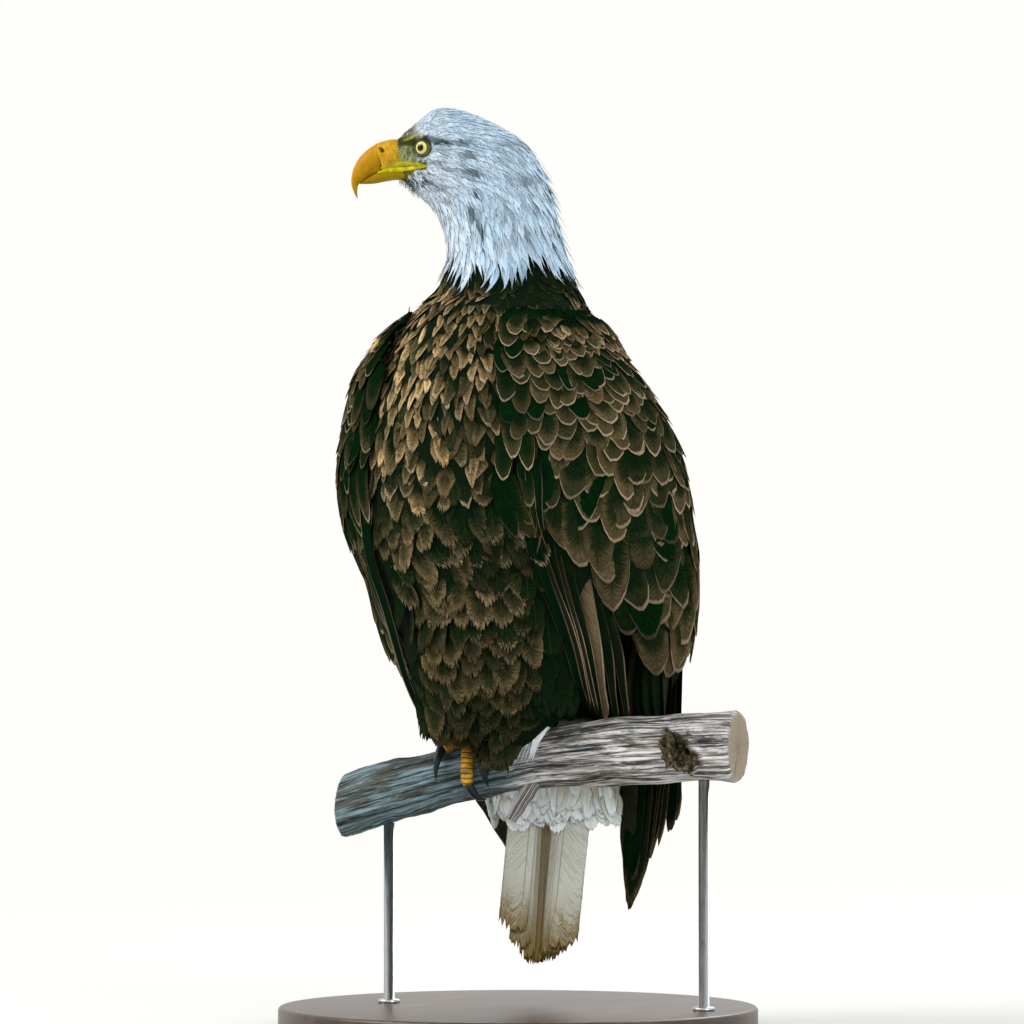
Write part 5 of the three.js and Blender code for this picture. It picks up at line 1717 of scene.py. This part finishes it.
# a toe with overlapping scutes on its back and swelling pads on its sole, and its map
def toeRings(start, end, steps=60, around=28):
    t = np.linspace(0, 1, steps)
    back = np.cos(fullTurn(around)) * 0.5 + 0.5
    along, path = graspPath(start, end, feet["toeRadius"] * (1 - 0.12 * t))
    scutes = np.linalg.norm(np.diff(path, axis=0), axis=1).sum() / feet["scute"]
    saw = (t * scutes) % 1.0
    ridge = 0.75 * smooth(0, 0.75, saw) * smooth(1.0, 0.86, saw)
    pads = 1.1 * np.sin(t * math.pi * 3) ** 2
    radius = feet["toeRadius"] * (0.98 - 0.26 * t)
    radii = radius[:, None] + ridge[:, None] * back ** 2 + pads[:, None] * (1 - back) ** 2
    radii = radii * np.minimum(1, 0.55 + 6 * (1 - t))[:, None]
    return gripTube(along, path, radii), gridOf(t * scutes, 1 - back)


def buildClaw(name, number, start, end, horn, steps=44, around=20):
    t, angle = np.linspace(0, 1, steps), fullTurn(around)
    radius = feet["clawRadius"]
    along, path = graspPath(start, end, radius * (1 - 0.55 * t) + 1 + 3 * np.sin(np.pi * t))
    taper = np.maximum(0.25, radius * (1 - t ** 1.6))
    rings = gripTube(along, path, taper[:, None] * (1 - 0.12 * np.abs(np.sin(angle))))
    piece = newPiece(f"claw_{name}_{number}", *cappedRings(rings), horn, "claw", [f"talon_{name}_{number}"])
    setUv(piece, "vane", gridOf(t, np.abs(angle / np.pi - 1)))


def buildFeet():
    scale, horn = footMaterial(), clawMaterial()
    around = 28
    for name in sides:
        foot = feet[name]
        at, made = foot["along"], []
        for number, (shift, reach, clawShift, claw) in enumerate(foot["toes"], 1):
            way = np.sign(reach)
            made.append(toeRings((at + shift * 0.15, feet["lean"] * way), (at + shift, reach)))
            buildClaw(name, number, (at + shift, reach - 8 * way), (at + shift + clawShift, reach + claw), horn)
        # the shank, and the pad under it
        t = np.linspace(0, 1, 40)
        ankle, knee = roundPerch(at, 0, 11), twisted(np.array(foot["knee"], float))
        shank = tubeRings(ankle + (knee - ankle) * t[:, None], feet["tarsusRadius"] * (1.05 - 0.1 * t), around,
                up=(0, 1, 0))
        made.append((shank, gridOf(t * 12, np.abs(np.linspace(-1, 1, around)))))
        turn, side = np.linspace(0.02, np.pi - 0.02, 24), fullTurn(around)
        x, y, z = feet["pad"]
        ball = np.stack([x * np.sin(turn)[:, None] * np.cos(side), y * np.sin(turn)[:, None] * np.sin(side),
                np.broadcast_to(z * np.cos(turn)[:, None], (24, around))], -1)
        made.append((hipTurned(ball) + roundPerch(at, 0, 9.6), gridOf(turn * 2, np.full(around, 0.8))))
        points, faces = joined([cappedRings(rings) for rings, _ in made])
        piece = newPiece(f"scaledFoot_{name}", points, faces, scale, "foot", [f"foot_{name}"])
        setUv(piece, "vane", np.concatenate([uv.reshape(-1, 2) for _, uv in made]))


buildFeet()
print("feet and claws built")


# Perch and stand.

def woodMaterial():
    wire = Wiring("weatheredWood", 0.85, 0.2)
    u, v, _ = wire.uv("bark")
    angle = wire.times(v, 2 * math.pi)
    c, s = wire.maths("COSINE", angle), wire.maths("SINE", angle)

    # noise over the bark: how fine along the branch and round it, and a shift that makes it differ
    def grainAt(stretch, fine, detail=5.0, shift=0.0):
        place = wire.join(wire.timesPlus(u, stretch, shift), wire.times(c, fine), wire.times(s, fine))
        return wire.noise(place, 1.0, detail, 0.62, 0.35)
    fibres = grainAt(1.5, 12.0, 6.0)
    cracks = grainAt(1.0, 8.0, 5.0, 7.0)
    patches = grainAt(1.5, 1.6, 6.0, 3.0)
    stains = grainAt(1.0, 1.5, 5.0, 11.0)
    flecks = grainAt(7.0, 30.0, 4.0, 19.0)
    chips = grainAt(4.0, 17.0, 4.0, 23.0)
    # grey-blue at the thin end, pale and streaked with brown towards the thick one
    thick = wire.ramp(wire.timesPlus(patches, 1.2, u), 2.2, 2.9)
    low = wire.mix(thick, (0.085, 0.14, 0.145), (0.11, 0.09, 0.066))
    high = wire.mix(thick, (0.22, 0.31, 0.35), (0.88, 0.84, 0.83))
    colour = wire.layers(wire.mix(wire.ramp(fibres, 0.34, 0.66), low, high),
            (wire.ramp(patches, 0.52, 0.6, 0, 0.7), high),
            (wire.ramp(stains, 0.49, 0.58, 0, 0.85), (0.07, 0.06, 0.035)),
            (wire.ramp(cracks, 0.49, 0.42, 0, 0.92), (0.012, 0.024, 0.024)),
            (wire.ramp(chips, 0.56, 0.64, 0, 0.6), high),
            (wire.ramp(flecks, 0.57, 0.66, 0, 0.8), (0.02, 0.035, 0.04)))
    colour = wire.shaded(colour, wire.ramp(fibres, 0.3, 0.7, 0.75, 1.15))
    # growth rings and a few checks on the sawn ends
    wobble = wire.noise(wire.place(), 30.0)
    rings = wire.maths("SINE", wire.times(wire.timesPlus(wobble, 5.0, wire.attribute("ring")["Fac"]), 2.6))
    sawn = wire.mix(wire.ramp(rings, -0.6, 0.8), (0.2, 0.16, 0.11), (0.4, 0.34, 0.26))
    check = wire.streaks((c, 2.6), (s, 2.6))
    sawn = wire.mix(wire.ramp(check, 0.4, 0.36, 0, 0.7), sawn, (0.04, 0.03, 0.02))
    rough = wire.noise(wire.place(), 190.0, 5.0, 0.65)
    knot = wire.mix(wire.ramp(rough, 0.42, 0.72), (0.02, 0.018, 0.008), (0.2, 0.16, 0.09))
    # the hollow in the knot is painted near black: painted shade deep in the hole
    knot = wire.mix(wire.attribute("hollow")["Fac"], knot, (0.006, 0.006, 0.004))
    colour = wire.layers(colour, (wire.attribute("cut")["Fac"], sawn), (wire.attribute("knot")["Fac"], knot))
    under = wire.bump(wire.timesPlus(cracks, 1.6, fibres), 1.6, 0.8)
    return wire.finish(colour, rough, 1.2, 0.5, Normal=under)


def buildPerch():
    rows, around, endRows = 260, 144, 15
    start, end = perch["stations"][0][0], perch["stations"][-1][0]
    places = gridOf(np.linspace(start, end, rows), np.linspace(0, 360, around, False))
    along, degrees = np.moveaxis(places, -1, 0)
    plain = roundPerch(along, degrees, 0)
    stretched = np.stack([along / 6, plain[..., 1] - along * 0.3, plain[..., 2]], -1)
    over = 1.1 * ripples(plain, 60, 71) + 0.6 * ripples(stretched, 9, 72) - 1.0
    over -= 1.6 * smooth(0.7, 1.5, ripples(stretched * [0.6, 1, 1], 16, 76))
    # the sunken knot with its ragged rim
    facing = np.radians(degrees - 92)
    facing = np.degrees(np.arctan2(np.sin(facing), np.cos(facing)))
    apart = np.hypot((along - perch["knotAlong"] - 0.25 * facing) / 1.05, np.radians(facing) * 30)
    ragged = apart + 3.4 * ripples(plain, 13, 73) + 1.2 * ripples(plain, 5, 77)
    knot = smooth(21, 16.5, ragged)
    hollow = smooth(9, 3, ragged + 1.5 * ripples(plain, 6, 78))
    over += perch["knotProud"] * 0.8 * knot * (0.68 + 0.32 * ripples(plain, 7, 74)) - 9 * hollow
    # worn edges at the sawn ends
    over -= 1.6 * smooth(3.0, 0, np.minimum(along - start, end - along))
    rings = roundPerch(along, degrees, over)
    ends = []
    for rim in (rings[0], rings[-1]):
        centre = rim.mean(0)
        disc = centre + (rim - centre) * np.linspace(1, 0.02, endRows + 1)[1:, None, None]
        ends.append(disc + perchAlong * (0.35 * ripples(disc, 5, 75))[..., None])
    everything = np.concatenate([ends[0][::-1], rings, ends[1]])
    # the stub of a twig
    length, twigAround = perch["twigLength"], 28
    root = roundPerch(perch["twigAlong"], 150, -12)
    tip = root - perchAlong * length * 0.55 + perchAhead * length * 0.25
    tip[2] = root[2] - length
    t = np.linspace(0, 1, 30)
    twigRadius = np.minimum(perch["twigRadius"] * (1.25 - 0.5 * t ** 0.5) + 0.5 * np.sin(t * 19), 8.6)
    twigRings = tubeRings(root + (tip - root) * t[:, None], twigRadius, twigAround, up=(0, 1, 0))
    points, faces = joined([cappedRings(everything), cappedRings(twigRings)])
    piece = newPiece("branch", points, faces, woodMaterial(), "perch", ["perch"])
    before, past = 0.2 * np.linspace(0.06, 0.0, endRows), (end - start) / 100 + np.linspace(0, 0.06, endRows)
    u = np.concatenate([before, (along[:, 0] - start) / 100, past])
    uvs = [gridOf(u, degrees[0] / 360), gridOf(t * 0.4 + 9, np.linspace(0, 1, twigAround))]
    setUv(piece, "bark", np.concatenate([uv.reshape(-1, 2) for uv in uvs]))
    none = np.zeros((endRows, around))
    cut = np.concatenate([none + 1, 0 * knot, none + 1])
    cut[[endRows, -endRows - 1]] = 0.5
    ring = np.linalg.norm(everything - everything.mean(1, keepdims=True), axis=-1)
    for key, values, onTwig in (("knot", np.concatenate([none, knot, none]), 0.25),
            ("hollow", np.concatenate([none, hollow, none]), 0), ("cut", cut, 0),
            ("ring", ring, 0)):
        setValues(piece, key, np.append(values, np.full(twigRings[..., 0].size, onTwig)))


buildPerch()
print("branch built")

stand = {"radius": 240, "thickness": 24, "edge": 4, "rodRadius": 5.5, "rods": [-138, 196]}


def buildStand():
    wire = Wiring("standWood", 0.4, Coat_Weight=0.15, Coat_Roughness=0.3)
    grain = wire.noise(wire.place((60, 6, 60)), 1.0, 6.0, 0.6, 0.8)
    pores = wire.noise(wire.place((900, 60, 900)))
    colour = wire.layers(wire.mix(wire.ramp(grain, 0.3, 0.7), (0.022, 0.011, 0.006), (0.075, 0.038, 0.02)),
            (wire.ramp(pores, 0.6, 0.75, 0, 0.6), (0.01, 0.006, 0.004)))
    wood = wire.finish(colour, pores, 0.1, 0.6)
    radius, thickness, edge = stand["radius"], stand["thickness"], stand["edge"]
    profile = [(radius * 0.02, 0), (radius * 0.5, 0), (radius - 1, 0), (radius, 1)]
    profile += [(radius - edge + edge * math.cos(a), thickness - edge + edge * math.sin(a))
            for a in np.linspace(0, math.pi / 2, 8)]
    profile += [(radius * 0.5, thickness), (radius * 0.02, thickness)]
    newPiece("turnedBase", *cappedRings(latheRings(profile, 160)), wood, "stand", ["stand_base"])
    wire = Wiring("rodSteel", 0.28, Metallic=1.0)
    brushed = wire.noise(wire.place((2600, 2600, 50)))
    wire.put(wire.mix(brushed, (0.5, 0.51, 0.52), (0.56, 0.57, 0.58)), wire.shader.inputs["Base Color"])
    wire.put(wire.ramp(brushed, 0.3, 0.7, 0.24, 0.36), wire.shader.inputs["Roughness"])
    low, rod = thickness - 0.2, stand["rodRadius"]
    for number, along in enumerate(stand["rods"], 1):
        middle, depth = perchAt(along)
        # a flat collar at its foot
        profile = [(10.5, low), (11, low + 0.2), (11, low + 3.2), (10, low + 4), (rod, low + 4.2),
                (rod, float(middle) - float(depth) + 2.5)]
        rings = latheRings(profile, 40, *(perchAlong * along)[:2])
        newPiece(f"rod_{number}", *cappedRings(rings), wire.material, "rod", [f"stand_rod_{number}"])


buildStand()
print("stand built")


# The skin's own colours.

def paintSkin():
    wire = Wiring("skinUnderCoat", 0.8, 0.03)
    grain = wire.noise(wire.place(), 420.0, 4.0, 0.65)
    colour = wire.shaded(wire.attribute("paint")["Color"], wire.ramp(grain, 0.25, 0.75, 0.6, 1.3))
    skinPiece.data.materials.clear()
    skinPiece.data.materials.append(wire.finish(colour, grain, 0.9))
    points = skinSurface.points
    local = toHead(points)
    x, y, z = np.abs(local[:, 0]), local[:, 1], local[:, 2]
    # bare skin: greenish lores with a dark band above, yellow-green brow with a painted highlight, eye ring
    # darkened on top by painted shade, and painted shadow between brow and eye
    blotch = 0.5 + 0.5 * ripples(local * [0, 1, 1], 6, 92)
    bare = layTones((0.12, 0.14, 0.045), ((0.29, 0.32, 0.17), blotch))
    front = y - 0.5 * np.maximum(876 - z, 0) + 1.5 * ripples(local * [0, 1, 1], 5, 93)
    lores = smooth(-94, -99, front) * smooth(860, 864, z) * smooth(894, 890, z)
    ring = np.exp(-(np.hypot((y + 90) / 9.6, (z - 880.3) / 10.4)) ** 8) * smooth(10, 14, x)
    # the ring darkens towards its top: painted shade under the brow
    ringTone = layTones((0.09, 0.09, 0.02), ((0.03, 0.045, 0.03), smooth(880, 888, z)))
    away, along = toLine(y, z, browRidge["line"])
    # the brow's yellow-green strip along the ridge's crest: partly the skin's own colour, partly painted
    # highlight
    brow = np.exp(-(away / 1.5) ** 4) * smooth(0.0, 0.25, along) * smooth(1.0, 0.8, along) * smooth(10, 14, x)
    tone = layTones(
        (0.003, 0.009, 0.003),
        ((0.42, 0.5, 0.56), smooth(10, 20, points[:, 2] - hemAt(points))),  # hood
        ((0.3, 0.29, 0.24), smooth(312, 300, points[:, 2]) * smooth(10, 30, points[:, 1])),  # tail
        # the smudges, and the painted shadow down the neck among them
        (hoodCoat["smudgeAndShade"], np.clip(smudgedAndShadowed(local), 0, 1) * 0.8),
        ((0.14, 0.1, 0.03), smooth(-96, -103, y + 0.25 * (z - 900)) * smooth(885, 889, z)),  # forehead
        ((0.1, 0.09, 0.04), smooth(-100, -107, y) * smooth(858, 852, z) * smooth(830, 836, z)),  # chin
        ((0.13, 0.11, 0.012),
         smooth(-94, -99, y + 0.5 * (858 - z)) * smooth(849, 851, z) * smooth(862, 860, z)),
        # under and between the lips the skin is a darker copy of their yellow: painted shade in the mouth's
        # slit
        ((0.1, 0.09, 0.004), smooth(-83, -86, y) * smooth(857.5, 859, z) * smooth(868.5, 867, z)),  # lips
        (bare, lores),
        ((0.03, 0.032, 0.008), lores * smooth(880, 885, z) * smooth(-118, -112, y) * 0.85),
        # darker between the brow and the front of the eye: painted shadow
        ((0.04, 0.045, 0.015), smooth(-93, -96, y) * smooth(882, 885, z) * smooth(893, 890, z) * 0.8),
        ((0.26, 0.22, 0.01), smooth(-108, -114, y) * smooth(880, 868, z) * smooth(858, 862, z)),
        (ringTone, ring), ((0.3, 0.31, 0.05), brow))
    setValues(skinPiece, "paint", np.concatenate([tone, np.ones((len(tone), 1))], 1))


paintSkin()
print("skin painted")
